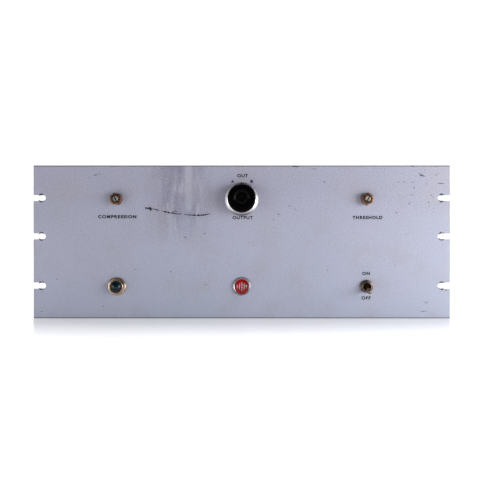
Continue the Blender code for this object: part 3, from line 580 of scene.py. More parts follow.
# ---------------------------------------------------------------- badge
# A die-struck disc, silver plated, with a red enamel field round five raised level bars. It is
# pinned to the panel under the knob.
badge_low, badge_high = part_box("badge_body")


def middle_of(name):
    """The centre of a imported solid's box."""
    low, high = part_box(name)
    return (low + high) / 2


def facing_out(x, z, y=0.0):
    """A control's own frame: its +Z points out of the panel's face."""
    return Matrix.Translation((x, y, z)) @ Matrix.Rotation(math.pi / 2, 4, "X")


def turn(profile, segments=96, waves=0, depth=0.0, waved=()):
    """Turns a closed profile of (radius, height) round Z. Points whose place is in waved are fluted."""
    shape = bmesh.new()
    rings = []
    for place, (radius, height) in enumerate(profile):
        if radius == 0:
            rings.append([shape.verts.new((0, 0, height))])
            continue
        ring = []
        for i in range(segments):
            angle = 2 * math.pi * i / segments
            r = radius - (depth * (0.5 - 0.5 * math.cos(waves * angle)) if place in waved else 0)
            ring.append(shape.verts.new((r * math.cos(angle), r * math.sin(angle), height)))
        rings.append(ring)
    solid = profile[0][0] == 0 and profile[-1][0] == 0
    for low, high in zip(rings, rings[1:] if solid else rings[1:] + rings[:1]):
        for i in range(segments):
            j = (i + 1) % segments
            corners = dict.fromkeys(
                (low[i % len(low)], low[j % len(low)], high[j % len(high)], high[i % len(high)])
            )
            shape.faces.new(corners)
    bmesh.ops.recalc_face_normals(shape, faces=shape.faces)
    return shape


def bar(shape, low, high):
    """Adds a rectangular block between two corners."""
    middle = (Vector(low) + Vector(high)) / 2
    size = Vector(high) - Vector(low)
    place = Matrix.Translation(middle) @ Matrix.Diagonal((*size, 1))
    return bmesh.ops.create_cube(shape, size=1.0, matrix=place)["verts"]


def metal(name, colour, dull, roughness, scale=240.0, coverage=0.45, bump=0.00004):
    """Aged bare metal: a tarnish colour in patches over the clean one, and a fine uneven surface."""
    material = new_finish(name, colour, roughness, 1.0)
    tarnish = place_group(material, patches, Scale=scale, Coverage=coverage, Softness=0.22)
    shade(material, "Base Color", blend_colour(material, tarnish["Mask"], colour, dull))
    shade(material, "Roughness", between(material, tarnish["Mask"], roughness, min(1.0, roughness + 0.22)))
    roughen(material, tarnish["Grain"], bump, 0.35)
    return material


silver_plate = metal("silver_plate", (0.42, 0.41, 0.43), (0.20, 0.185, 0.19), 0.24)
badge_middle = middle_of("badge_body")
badge_frame = facing_out(badge_middle.x, badge_middle.z, badge_high.y)
rim = (badge_high.x - badge_low.x) / 2
thick = badge_high.y - badge_low.y
rim_profile = [
    (0, 0), (rim - 0.0002, 0), (rim, 0.0003), (rim, thick * 0.55), (rim - 0.0003, thick * 0.85),
    (rim - 0.0009, thick), (rim - 0.0015, thick * 0.98), (rim - 0.0019, thick * 0.82),
    (rim - 0.0019, 0.0008), (0, 0.0008),
]  # fmt: skip
piece(
    "badge_disc", turn(rim_profile), silver_plate, matrix=badge_frame, crease=50, replaces="badge_body",
)

red, red_depth = mottled(
    "red_enamel_gloss", (0.34, 0.003, 0.003), (0.24, 0.002, 0.003), 0.16, 300.0, Specular_IOR_Level=0.25
)
roughen(red, red_depth["Grain"], 0.00003, 0.2)
field = rim - 0.0021
enamel_high, enamel_low = (badge_high.y - corner.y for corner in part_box("badge_enamel"))
meniscus = 0.0003


def dome(radius, foot, rise, steps, first=1):
    """Points of a profile over a dome, from its foot to just short of its crown."""
    angles = [math.pi / 2 * i / steps for i in range(first, steps)]
    return [(radius * math.cos(a), foot + rise * math.sin(a)) for a in angles]


field_profile = [(0, enamel_low), (field, enamel_low), (field, enamel_high - meniscus)]
field_profile += [*dome(field, enamel_high - meniscus, meniscus, 8), (0, enamel_high)]
piece(
    "badge_field", turn(field_profile), red, matrix=badge_frame, replaces="badge_enamel"
)

level_bars = bmesh.new()
for place in range(-2, 3):
    height = 0.0098 - abs(place) * 0.0028
    x = place * 0.0026
    bar(level_bars, (x - 0.0005, -height / 2, enamel_low), (x + 0.0005, height / 2, enamel_high + 0.00022))
ease(piece("badge_level_bars", level_bars, silver_plate, matrix=badge_frame), 0.00018)

# ---------------------------------------------------------------- pilot lamp
# A turned brass bezel with worn nickel plate holds a dark blue-green glass jewel in front of a
# small bulb. The bezel's threaded barrel passes the panel and the chassis, where a nut holds it.
lamp_low, lamp_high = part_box("lamp_bezel")
lamp_middle = middle_of("lamp_bezel")
lamp_frame = facing_out(lamp_middle.x, lamp_middle.z)
plate_front = -face


thread_depth = 0.0003


def thread(radius, depth, start, stop, pitch=0.0008):
    """The ridges of a screw thread, as points of a turned profile from start to stop."""
    count = max(1, round(abs(stop - start) / pitch))
    points = []
    for i in range(count):
        at = start + (stop - start) * i / count
        step = (stop - start) / count
        points += [(radius - depth, at), (radius, at + step * 0.4), (radius, at + step * 0.6)]
    return points + [(radius - depth, stop)]


def arc(centre, radius, start, stop, steps):
    """Points of a profile round a centre, between two angles in degrees."""
    angles = [math.radians(start + (stop - start) * i / steps) for i in range(steps + 1)]
    return [(centre[0] + radius * math.cos(a), centre[1] + radius * math.sin(a)) for a in angles]


worn_nickel = metal(
    "worn_nickel", (0.60, 0.46, 0.35), (0.32, 0.20, 0.135), 0.16, scale=160.0, coverage=0.42, bump=0.00002
)
barrel, flange, bore = 0.0085, (lamp_high.x - lamp_low.x) / 2, 0.0067
back = -0.0140
bezel = [(bore, back), *thread(barrel, thread_depth, back + 0.0004, plate_front - 0.0002)]
bezel += [(flange - 0.0004, plate_front + 0.0003), (flange, plate_front + 0.0007)]
bezel += arc((flange - 0.0012, plate_front + 0.0011), 0.0012, 0, 75, 8)
bezel += [
    (0.0086, plate_front + 0.0024), (0.0081, plate_front + 0.0021), (0.0079, plate_front + 0.0023),
    (0.0079, plate_front + 0.0056),
]
bezel += arc((0.0073, plate_front + 0.0060), 0.0006, 0, 165, 8)
piece(
    "lamp_bezel_turned", turn(bezel), worn_nickel, matrix=lamp_frame, crease=50, replaces="lamp_bezel",
)

glass = new_finish("jewel_dark_glass", (0.001, 0.008, 0.011), 0.10, Specular_IOR_Level=0.3)
# The jewel's colour is painted in cells of lighter and darker teal: painted glints standing in for
# reflections off facets inside the glass
painted_facet_glints = node(
    glass.node_tree, "ShaderNodeTexVoronoi", {"Vector": own_place(glass.node_tree), "Scale": 420.0}
)
glint = between(glass, painted_facet_glints.outputs["Distance"], 0.0, 1.0, 0.25, 0.75)
shade(glass, "Base Color", blend_colour(glass, glint, (0.002, 0.020, 0.026), (0.0005, 0.004, 0.006)))
jewel_low, jewel_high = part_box("lamp_jewel")
jewel_radius = (jewel_high.x - jewel_low.x) / 2
crown = -jewel_low.y
shoulder = crown - 0.0046
jewel = [(0, -jewel_high.y), (jewel_radius - 0.0002, -jewel_high.y), (jewel_radius, -jewel_high.y + 0.0002)]
jewel += [*dome(jewel_radius, shoulder, crown - shoulder, 16, 0), (0, crown)]
piece("lamp_jewel_dome", turn(jewel), glass, "jewel", lamp_frame, replaces="lamp_jewel")

# ---------------------------------------------------------------- output selector knob
# A black moulded cap with a fluted side and a dished, ringed top, riveted to a bright spun
# aluminium skirt. A black line on the skirt points at OUT. A set screw holds it to the shaft.
knob_low, knob_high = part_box("selector_knob")
knob_middle = middle_of("selector_knob")
selector_frame = facing_out(knob_middle.x, knob_middle.z)
cap_radius = (knob_high.x - knob_low.x) / 2
cap_foot, cap_top = -knob_high.y, -knob_low.y

black, black_haze = mottled(
    "black_moulding", (0.0006, 0.0006, 0.001), (0.0016, 0.0016, 0.002), 0.2, 140.0, 0.45, 0.25,
    Specular_IOR_Level=0.05
)
shade(black, "Roughness", between(black, black_haze["Grain"], 0.14, 0.26))
roughen(black, black_haze["Grain"], 0.00001, 0.1)

groove = 0.0004
socket_radius, socket_top = 0.0035, 0.0170
cap = [
    (0, socket_top), (socket_radius, socket_top), (socket_radius, cap_foot), (cap_radius - 0.0003, cap_foot)
]
cap += [(cap_radius, cap_foot + 0.0003), (cap_radius, cap_top - 0.0026)]
fluted = {4, 5}
cap += arc((cap_radius - 0.0022, cap_top - 0.0022), 0.0022, 5, 90, 10)
cap += [
    (0.0124, cap_top), (0.0121, cap_top - groove), (0.0113, cap_top - groove), (0.0110, cap_top),
    (0.0096, cap_top),
]
cap += arc((0.0096, cap_top - 0.0020), 0.0020, 90, 150, 6)
cap += [
    (0.0072, cap_top - 0.0012), (0.0069, cap_top - 0.0015), (0.0064, cap_top - 0.0015),
    (0.0061, cap_top - 0.0013),
]
cap += [(0.0030, cap_top - 0.0017), (0, cap_top - 0.0018)]
piece(
    "selector_cap", turn(cap, 360, 60, 0.0005, fluted), black, "selector", selector_frame,
    crease=50, replaces="selector_knob",
)  # fmt: skip

spun = new_finish("spun_bright", (0.80, 0.80, 0.82), 0.24, 1.0)
spun_tree = spun.node_tree
centre = (knob_middle.x, 0, knob_middle.z)
off_axis = node(
    spun_tree, "ShaderNodeVectorMath", {0: own_place(spun_tree), 1: centre}, operation="SUBTRACT"
).outputs[0]
level = node(
    spun_tree, "ShaderNodeVectorMath", {0: off_axis, 1: (1, 0, 1)}, operation="MULTIPLY"
).outputs[0]
spun_radius = node(spun_tree, "ShaderNodeVectorMath", {0: level}, operation="LENGTH").outputs["Value"]
rings = node(
    spun_tree, "ShaderNodeTexNoise", {"W": spun_radius, "Scale": 5200.0, "Detail": 2.0},
    noise_dimensions="1D",
)
spun_age = place_group(spun, patches, Scale=120.0, Coverage=0.35, Softness=0.2)
spun_colour = blend_colour(spun, spun_age["Mask"], (0.83, 0.83, 0.85), (0.62, 0.60, 0.58))
# The lower part of the skirt is painted darker: painted shade on the underside of the cone
height = node(spun_tree, "ShaderNodeSeparateXYZ", {0: off_axis}).outputs["Z"]
below = between(spun, height, 0.85, 0.0, -0.0175, -0.0115)
shade(spun, "Base Color", blend_colour(spun, below, spun_colour, (0.17, 0.14, 0.145)))
shade(spun, "Roughness", between(spun, rings.outputs[0], 0.18, 0.34))
roughen(spun, rings.outputs[0], 0.00003, 0.5)
skirt_low, skirt_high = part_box("selector_skirt")
skirt_radius = (skirt_high.x - skirt_low.x) / 2
lip, top = -skirt_high.y, -skirt_low.y
skirt = [
    (0.0085, top - 0.0009), (0.0156, top - 0.0009), (0.0184, lip + 0.0001), (skirt_radius - 0.0002, lip)
]
skirt += arc((skirt_radius - 0.0004, lip + 0.0004), 0.0004, -30, 50, 5)
skirt += [(0.0168, top - 0.0003), (0.0163, top - 0.00005), (0.0158, top), (0.0085, top)]
piece(
    "selector_skirt_spun", turn(skirt, 192), spun, "selector", selector_frame, replaces="selector_skirt",
)

index = bmesh.new()
line = 0.00042
slope = [(0.0164, top + 0.00002), (0.0168, top - 0.00022), (skirt_radius - 0.00015, lip + 0.00085)]
inner = [(r, h - 0.0002) for r, h in slope]
ring_of = [[index.verts.new((x, r, h)) for r, h in slope + inner[::-1]] for x in (-line, line)]
for i in range(len(ring_of[0])):
    j = (i + 1) % len(ring_of[0])
    index.faces.new((ring_of[0][i], ring_of[0][j], ring_of[1][j], ring_of[1][i]))
index.faces.new(ring_of[0])
index.faces.new(reversed(ring_of[1]))
bmesh.ops.recalc_face_normals(index, faces=index.faces)
piece("selector_index_line", index, ink, "selector", selector_frame)

# ---------------------------------------------------------------- compression and threshold trimmers
# Each is a sealed pot set with a screwdriver. Its threaded brass bush is split in four, and a
# second nut on the bush's taper squeezes it on the shaft to lock it. The brass has gone brown.
oxide_brass = metal(
    "brown_brass", (0.34, 0.20, 0.12), (0.155, 0.080, 0.048), 0.34, scale=210.0, coverage=0.55, bump=0.00008
)
grey_nickel = metal("grey_nickel", (0.56, 0.54, 0.50), (0.26, 0.23, 0.20), 0.26, scale=260.0, coverage=0.42)
hex_flats = 0.0127


def hex_nut(low, high, bore, flats=hex_flats, turned=0.0, points=72, threaded=True):
    """A hexagon nut along Z with chamfered corners and a threaded bore."""
    inscribed = flats / 2
    shape = bmesh.new()

    def ring(reach, height):
        made = []
        for i in range(points):
            angle = 2 * math.pi * i / points
            corner = inscribed / math.cos((angle + math.pi / 6) % (math.pi / 3) - math.pi / 6)
            radius = reach(corner)
            made.append(
                shape.verts.new(
                    (radius * math.cos(angle + turned), radius * math.sin(angle + turned), height(corner))
                )
            )
        return made

    chamfer = math.tan(math.radians(30))
    rings = [
        ring(lambda c: bore, lambda c: low),
        ring(lambda c: inscribed * 0.97, lambda c: low),
        ring(lambda c: c, lambda c: low + 0.0002 + (c - inscribed) * chamfer),
        ring(lambda c: c, lambda c: high - 0.0002 - (c - inscribed) * chamfer),
        ring(lambda c: inscribed * 0.97, lambda c: high),
        ring(lambda c: bore + 0.0003, lambda c: high),
    ]
    if threaded:
        for radius, height in thread(bore + 0.0003, thread_depth, high - 0.0003, low + 0.0003):
            rings.append(ring(lambda c, r=radius: r, lambda c, h=height: h))
    for a, b in zip(rings, rings[1:] + rings[:1]):
        for i in range(points):
            j = (i + 1) % points
            shape.faces.new((a[i], a[j], b[j], b[i]))
    bmesh.ops.recalc_face_normals(shape, faces=shape.faces)
    return shape


def cut(made, shape, name, lining=None):
    """Cuts a bmesh out of a piece, for good; the cut faces may have a finish of their own."""
    cutter_mesh = bpy.data.meshes.new(name)
    shape.to_mesh(cutter_mesh)
    shape.free()
    if lining:
        cutter_mesh.materials.append(lining)
    cutter = bpy.data.objects.new(name, cutter_mesh)
    scene.collection.objects.link(cutter)
    modifier = made.modifiers.new("cut", "BOOLEAN")
    modifier.object = cutter
    modifier.solver = "EXACT"
    modifier.material_mode = "TRANSFER" if lining else "INDEX"
    bpy.context.view_layer.update()
    result = bpy.data.meshes.new_from_object(made.evaluated_get(bpy.context.evaluated_depsgraph_get()))
    made.modifiers.remove(modifier)
    bpy.data.objects.remove(cutter)
    made.data = result
    made.data.shade_smooth()
    made.data.set_sharp_from_angle(angle=math.radians(35))


# A dark lining for cut slots, splits and bores: painted shade in these recesses
recess_shade, _ = mottled("painted_recess_shade", (0.006, 0.005, 0.005), (0.030, 0.022, 0.018), 0.75, 600.0, softness=0.25)
# How far each trimmer's shaft slot, bush split and lock nut are turned, in degrees
trimmers = {
    "compression": {"slot": 24, "split": 45, "nut": 14},
    "threshold": {"slot": -33, "split": -7, "nut": -2},
}
bush_radius, shaft_radius = 0.00475, 0.003175
nut_bore = bush_radius + 0.0002
for name, turned in trimmers.items():
    nut_low, nut_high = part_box(f"{name}_lock_nut")
    middle = middle_of(f"{name}_shaft")
    control = facing_out(middle.x, middle.z)
    lock_turn = math.radians(turned["nut"])
    piece(
        f"{name}_locking_nut", hex_nut(-nut_high.y, -nut_low.y, nut_bore, turned=lock_turn),
        oxide_brass, f"{name}_lock", control, replaces=f"{name}_lock_nut",
    )  # fmt: skip
    mount_low, mount_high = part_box(f"{name}_mount_nut")
    piece(
        f"{name}_fixing_nut",
        hex_nut(-mount_high.y, -mount_low.y, nut_bore, turned=lock_turn + math.radians(5)),
        oxide_brass, "frame", control, replaces=f"{name}_mount_nut",
    )  # fmt: skip
    bush_low, bush_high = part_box(f"{name}_bushing")
    top, plate = -bush_low.y, -0.0019
    bore = shaft_radius + 0.0003
    sleeve = [
        (bore, top - 0.0026), (bore + 0.0005, top - 0.0024), (bore + 0.0005, top - 0.0002),
        (bore + 0.0006, top),
    ]
    sleeve += [(bush_radius - 0.0004, top), (bush_radius - 0.0002, top - 0.0006)]
    sleeve += thread(bush_radius, thread_depth, top - 0.0014, plate + 0.0002)
    sleeve += [
        (0.0118, plate), (0.0120, plate - 0.0002), (0.0120, -bush_high.y + 0.0002), (0.0118, -bush_high.y),
        (bore, -bush_high.y),
    ]
    bush = piece(
        f"{name}_split_bush", turn(sleeve, 72), oxide_brass, "frame", control, crease=35,
        replaces=f"{name}_bushing",
    )
    # The bush's splits are cut and lined with painted shade.
    for quarter in range(2):
        split = bmesh.new()
        bar(split, (-0.008, -0.0006, 0.0052), (0.008, 0.0006, top + 0.0052))
        spin = Matrix.Rotation(math.radians(turned["split"]) + quarter * math.pi / 2, 4, "Z")
        bmesh.ops.transform(split, matrix=control @ spin, verts=split.verts)
        cut(bush, split, "split", recess_shade)

    shaft_top = -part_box(f"{name}_shaft")[0].y
    pin = [
        (0, -0.0070), (shaft_radius, -0.0070), (shaft_radius, shaft_top - 0.0006),
        (shaft_radius - 0.0005, shaft_top), (0, shaft_top),
    ]
    shaft = piece(
        f"{name}_slotted_shaft", turn(pin, 64), grey_nickel, f"{name}_wiper", control,
        replaces=f"{name}_shaft",
    )
    # The screwdriver slot is cut and lined with painted shade.
    kerf = bmesh.new()
    bar(kerf, (-0.00065, -0.0050, shaft_top - 0.0022), (0.00065, 0.0050, shaft_top + 0.0022))
    spin = Matrix.Rotation(math.radians(turned["slot"]), 4, "Z")
    bmesh.ops.transform(kerf, matrix=control @ spin, verts=kerf.verts)
    cut(shaft, kerf, "kerf", recess_shade)

# ---------------------------------------------------------------- power toggle
# A bat-handled toggle in a threaded bush, held by a knurled ring on the face and a hexagon nut
# behind. The lever's ball rocks in the bush.
ring_low, ring_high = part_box("toggle_ring_nut")
toggle_middle = middle_of("toggle_ring_nut")
toggle_frame = facing_out(toggle_middle.x, toggle_middle.z)
warm_nickel = metal(
    "warm_nickel", (0.34, 0.27, 0.215), (0.13, 0.088, 0.066), 0.26, scale=230.0, coverage=0.48
)
knurl = (ring_high.x - ring_low.x) / 2
low, high = -ring_high.y, -ring_low.y
ring_profile = [
    (0.0063, low), (knurl - 0.0002, low), (knurl, low + 0.0003), (knurl, high - 0.0008),
    (knurl - 0.0003, high - 0.0004), (knurl - 0.0008, high), (0.0066, high), (0.0063, high - 0.0003),
]  # fmt: skip
piece(
    "toggle_knurled_ring", turn(ring_profile, 288, 48, 0.0004, {2, 3}), warm_nickel, "frame", toggle_frame,
    replaces="toggle_ring_nut",
)  # fmt: skip
bush_low, bush_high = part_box("toggle_bushing")
top, seat = -bush_low.y, -0.0072
collar = [
    (0.0043, top - 0.0010), (0.0048, top - 0.0001), (0.0050, top), (0.0054, top - 0.0001),
    (0.0058, top - 0.0006),
]
collar += thread(0.00595, thread_depth, top - 0.0008, seat + 0.0002)
collar += [
    (0.0083, seat), (0.0085, seat - 0.0002), (0.0085, seat - 0.0010), (0.0083, seat - 0.0012),
    (0.0043, seat - 0.0012),
]
bush = piece(
    "toggle_threaded_bush", turn(collar, 72), warm_nickel, "frame", toggle_frame, replaces="toggle_bushing",
)
# The bush's mouth is bored and lined with painted shade round the lever.
mouth = turn(
    [
        (0, seat - 0.0030), (0.0044, seat - 0.0030), (0.0044, top - 0.0008), (0.0050, top + 0.0004),
        (0, top + 0.0004),
    ],
    72,
)
bmesh.ops.transform(mouth, matrix=toggle_frame, verts=mouth.verts)
cut(bush, mouth, "mouth", recess_shade)

lever_joint = next(joint for joint in frame["joints"] if joint["name"] == "toggle_throw")
lever_frame = Matrix.Translation(lever_joint["pos_m"]) @ Matrix.Rotation(
    math.pi / 2 + math.radians(15), 4, "X"
)
bat = [(0, -0.0065), (0.0012, -0.0065), (0.0012, -0.0034)]
bat += [
    (0.0035 * math.sin(math.radians(d)), -0.0035 * math.cos(math.radians(d))) for d in range(22, 148, 9)
]
bat += [
    (0.0018, 0.0036), (0.0017, 0.0050), (0.0019, 0.0080), (0.0023, 0.0120), (0.00268, 0.0160),
    (0.0028, 0.0180),
]
bat += [*dome(0.0028, 0.0180, 0.0027, 10), (0, 0.0207)]
piece(
    "toggle_bat_lever", turn(bat, 64), warm_nickel, "power_toggle", lever_frame, replaces="toggle_lever",
)

# ---------------------------------------------------------------- chassis, cover and brackets
# A folded pan of zinc-plated steel, 17 by 8 inches, with a slotted bottom cover. Two folded
# gussets hold the panel square to it. Slotted pan-head screws join them.
deck_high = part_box("chassis")[1]
deck = deck_high.z
rear_face = deck_high.y
stand_off = 0.0003  # each fitting sits this far clear of the metal it is fixed to
sheet = 0.0016  # the thickness of brackets, feet and the board


def zinc_plate():
    material = new_finish("zinc_plate", (0.58, 0.59, 0.58), 0.36, 1.0)
    tree = material.node_tree
    spangle = node(tree, "ShaderNodeTexVoronoi", {"Vector": own_place(tree), "Scale": 130.0}, feature="F1")
    grey = node(tree, "ShaderNodeSeparateColor", {0: spangle.outputs["Color"]}).outputs[0]
    colour = blend_colour(material, grey, (0.52, 0.53, 0.53), (0.66, 0.66, 0.64))
    dull = place_group(material, patches, Scale=22.0, Coverage=0.42, Softness=0.2, Shift=1.3)
    colour = blend_colour(material, between(material, dull["Mask"], 0.0, 0.7), colour, (0.36, 0.35, 0.32))
    rust = place_group(material, patches, Scale=75.0, Coverage=0.23, Softness=0.05, Shift=4.7)
    colour = blend_colour(material, between(material, rust["Mask"], 0.0, 0.6), colour, (0.20, 0.11, 0.06))
    worn = place_group(material, edge_wear, Width=0.0012, Amount=0.7, Scale=140.0)["Mask"]
    shade(material, "Base Color", blend_colour(material, worn, colour, (0.30, 0.27, 0.23)))
    shade(material, "Roughness", between(material, dull["Mask"], 0.40, 0.60))
    roughen(material, dull["Grain"], 0.00006, 0.3)
    return material


def join(whole, shape, matrix=None):
    """Adds a shape to a larger one, placed by a matrix."""
    if matrix is not None:
        bmesh.ops.transform(shape, matrix=matrix, verts=shape.verts)
    mesh = bpy.data.meshes.new("joined")
    shape.to_mesh(mesh)
    shape.free()
    whole.from_mesh(mesh)
    bpy.data.meshes.remove(mesh)


def facing_back(x, z, y=rear_face):
    """A frame whose +Z points out of the rear apron."""
    return Matrix.Translation((x, y, z)) @ Matrix.Rotation(-math.pi / 2, 4, "X")


def facing_side(side, y, z, x):
    """A frame whose +Z points out to the left or the right."""
    return Matrix.Translation((x, y, z)) @ Matrix.Rotation(side * math.pi / 2, 4, "Y")


def screws(name, places, radius, finish, body="frame", washer=0.0):
    """Slotted pan-head screws, each in a frame whose +Z points out of its head."""
    tall = radius * 0.62
    head = [(0, washer), (radius, washer), (radius, washer + tall * 0.45)]
    head += [*dome(radius, washer + tall * 0.45, tall * 0.55, 6), (0, washer + tall)]
    heads, slots = bmesh.new(), bmesh.new()
    for count, place in enumerate(places):
        join(heads, turn(head, 28), place)
        if washer:
            rim = [(0, 0.00002), (radius * 1.35, 0.00002), (radius * 1.35, washer * 0.9), (0, washer * 0.9)]
            join(heads, turn(rim, 28), place)
        kerf = bmesh.new()
        bar(
            kerf, (-radius * 1.2, -radius * 0.12, washer + tall * 0.5),
            (radius * 1.2, radius * 0.12, washer + tall * 1.3),
        )
        join(slots, kerf, place @ Matrix.Rotation(0.7 + count * 1.9, 4, "Z"))
    made = piece(name, heads, finish, body)
    # Each head's slot is cut and lined with painted shade.
    cut(made, slots, "screw_slots", recess_shade)
    return made


zinc = zinc_plate()
steel = metal("screw_steel", (0.56, 0.56, 0.55), (0.34, 0.31, 0.27), 0.28, scale=320.0)
for source, width in (
    ("chassis", 0.0007), ("bottom_cover", 0.0003), ("left_bracket", 0.0005), ("right_bracket", 0.0005)
):
    ease(piece(f"{source}_sheet", clean_copy(source), zinc, replaces=source), width)

bracket_low, bracket_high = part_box("right_bracket")
bracket_foot = deck + stand_off + sheet
flange_middle = bracket_high.x - 0.0075
held = []
for end in (-1, 1):
    held += [Matrix.Translation((end * flange_middle, y, bracket_foot)) for y in (0.030, 0.095, 0.160)]
screws("bracket_foot_screws", held, 0.0030, steel)
held = []
for end in (-1, 1):
    held += [facing_back(end * flange_middle, z, bracket_low.y + sheet) for z in (0.085, 0.115, 0.145)]
screws("bracket_flange_screws", held, 0.0030, steel)
held = [
    facing_side(end, y, 0.0080, end * deck_high.x) for end in (-1, 1) for y in (0.020, 0.075, 0.130, 0.190)
]
screws("cover_side_screws", held, 0.0026, steel)

# ---------------------------------------------------------------- trimmer cases behind the panel
# Each pot is a drawn can, crimped over its bush plate by four tabs. Three tinned lugs leave a
# paper-laminate ring, and the wires of its bundle are soldered to them.
drawn = metal("drawn_aluminium", (0.66, 0.66, 0.65), (0.44, 0.43, 0.41), 0.34, scale=90.0, coverage=0.42)
tin = metal("tinned_lug", (0.62, 0.61, 0.58), (0.40, 0.37, 0.32), 0.3, scale=500.0)


def laminate():
    material = new_finish("paper_laminate", (0.21, 0.105, 0.045), 0.42)
    tree = material.node_tree
    stretched = node(tree, "ShaderNodeMapping", {"Vector": own_place(tree), "Scale": (0.15, 1.0, 1.0)})
    fibre = node(
        tree, "ShaderNodeTexNoise", {"Vector": stretched.outputs[0], "Scale": 900.0, "Detail": 4.0}
    )
    tone = between(material, fibre.outputs[0], 0.0, 1.0, 0.35, 0.65)
    shade(
        material, "Base Color", blend_colour(material, tone, (0.150, 0.070, 0.028), (0.270, 0.140, 0.062))
    )
    roughen(material, fibre.outputs[0], 0.00004, 0.3)
    return material


brown_board = laminate()
lug_pitch, lug_rise = 0.0060, 0.0034
for name in trimmers:
    case_low, case_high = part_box(f"{name}_case")
    axis = middle_of(f"{name}_lock_nut")
    can_radius = (case_high.x - case_low.x) / 2
    control = facing_out(axis.x, axis.z)
    mouth, floor_at = -case_low.y, -case_high.y
    can = [
        (0, floor_at), (can_radius - 0.0012, floor_at),
        *arc((can_radius - 0.0012, floor_at + 0.0012), 0.0012, -80, 0, 5),
    ]
    can += [
        (can_radius, mouth - 0.0014), (can_radius - 0.0003, mouth - 0.0011), (can_radius, mouth - 0.0008),
        (can_radius, mouth),
    ]
    can += [(can_radius - 0.0010, mouth), (can_radius - 0.0010, floor_at + 0.0010), (0, floor_at + 0.0010)]
    made = turn(can, 72)
    for quarter in range(4):
        tab = bmesh.new()
        bar(
            tab, (can_radius - 0.0016, -0.0018, mouth - 0.0040),
            (can_radius + 0.00025, 0.0018, mouth + 0.0003),
        )
        join(made, tab, Matrix.Rotation(math.radians(45 + 90 * quarter), 4, "Z"))
    piece(f"{name}_drawn_can", made, drawn, matrix=control, replaces=f"{name}_case")
    lug_at = floor_at + lug_rise
    wafer = bmesh.new()
    bar(wafer, (-0.0095, -0.0160, lug_at - 0.0006), (0.0095, -0.0120, lug_at + 0.0012))
    ease(piece(f"{name}_lug_wafer", wafer, brown_board, matrix=control), 0.0003)
    lugs = bmesh.new()
    for side in (-1, 0, 1):
        x = side * lug_pitch
        bar(lugs, (x - 0.0015, -0.0210, lug_at - 0.0004), (x + 0.0015, -0.0150, lug_at + 0.0004))
        rivet = turn([(0, -0.0006), (0.0011, -0.0006), (0.0011, 0.0014), (0, 0.0018)], 14)
        join(lugs, rivet, Matrix.Translation((x, -0.0138, lug_at)))
    ease(piece(f"{name}_lugs", lugs, tin, matrix=control), 0.0002)

# ---------------------------------------------------------------- output selector behind the panel
# A rotary switch: a steel plate with the detent, two threaded rods with spacers, and one wafer of
# paper laminate. Twelve spring clips grip a ring on the rotor that the flatted shaft turns.
wafer_low, wafer_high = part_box("selector_wafer")
plate_low, plate_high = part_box("selector_frame")
wafer_middle = middle_of("selector_wafer")
selector_frame = facing_out(wafer_middle.x, wafer_middle.z)
wafer_front, wafer_back = -wafer_low.y, -wafer_high.y
clear = 0.0034
plate_back = -plate_high.y
plate_radius = (plate_high.x - plate_low.x) / 2
plate = [(clear, -plate_low.y), (0.0044, -plate_low.y)]
plate += thread(0.00475, thread_depth, -plate_low.y - 0.0004, plate_back + 0.0018)
plate += [
    (plate_radius - 0.0003, plate_back + 0.0016), (plate_radius, plate_back + 0.0013),
    (plate_radius, plate_back), (clear, plate_back),
]
piece(
    "selector_plate", turn(plate, 72), steel, matrix=selector_frame, replaces="selector_frame",
)
nut_low, nut_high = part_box("selector_nut")
piece(
    "selector_fixing_nut", hex_nut(-nut_high.y, -nut_low.y, 0.0050, turned=math.radians(10)), oxide_brass,
    matrix=selector_frame, replaces="selector_nut",
)  # fmt: skip


def refinish(material, *names):
    """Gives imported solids, whose shape is right, a material of this file."""
    for name in names:
        for place in frame["nodes"][name].material_slots:
            place.material = material


refinish(brown_board, "selector_wafer", "selector_rotor", "component_board")
refinish(oxide_brass, "selector_detent_wheel")
refinish(steel, "selector_shaft", "selector_set_screw", "selector_rod_left", "selector_rod_right")

clips = bmesh.new()
for count in range(12):
    clip = bmesh.new()
    bar(clip, (0.0078, -0.0011, wafer_front + 0.0001), (0.0172, 0.0011, wafer_front + 0.0005))
    bar(clip, (0.0162, -0.0011, wafer_back - 0.0030), (0.0172, 0.0011, wafer_front + 0.0005))
    rivet = [(0, 0.0004), (0.0011, 0.0004), (0.0009, 0.0011), (0, 0.0013)]
    join(clip, turn(rivet, 12), Matrix.Translation((0.0118, 0, wafer_front)))
    join(clips, clip, Matrix.Rotation(math.radians(15 + 30 * count), 4, "Z"))
piece("selector_clips", clips, tin, matrix=selector_frame)
ring = [
    (0.0052, wafer_front + 0.00002), (0.0074, wafer_front + 0.00002), (0.0074, wafer_front + 0.0003),
    (0.0052, wafer_front + 0.0003),
]
piece("selector_rotor_ring", turn(ring, 48), silver_plate, "selector", selector_frame)
detent = bmesh.new()
bar(detent, (-0.0016, 0.0120, plate_back - 0.0030), (0.0016, 0.0150, plate_back - 0.00005))
bar(detent, (-0.0016, 0.0112, plate_back - 0.0034), (0.0016, 0.0150, plate_back - 0.0030))
ease(piece("selector_detent_spring", detent, oxide_brass, matrix=selector_frame), 0.0003)

# ---------------------------------------------------------------- lamp socket and switch body
# Behind the apron a moulded cup carries the bulb behind the jewel, and a moulded box holds the
# toggle's contacts under a folded steel strap. Both are held by plated hexagon nuts.
moulded, flow = mottled(
    "moulded_phenolic", (0.010, 0.008, 0.008), (0.032, 0.022, 0.018), 0.34, 85.0, Specular_IOR_Level=0.5
)
shade(moulded, "Roughness", between(moulded, flow["Grain"], 0.24, 0.48))
roughen(moulded, flow["Grain"], 0.00004, 0.3)
clear_glass = new_finish("clear_glass", (0.93, 0.96, 0.95), 0.04, Transmission_Weight=1.0, IOR=1.5)

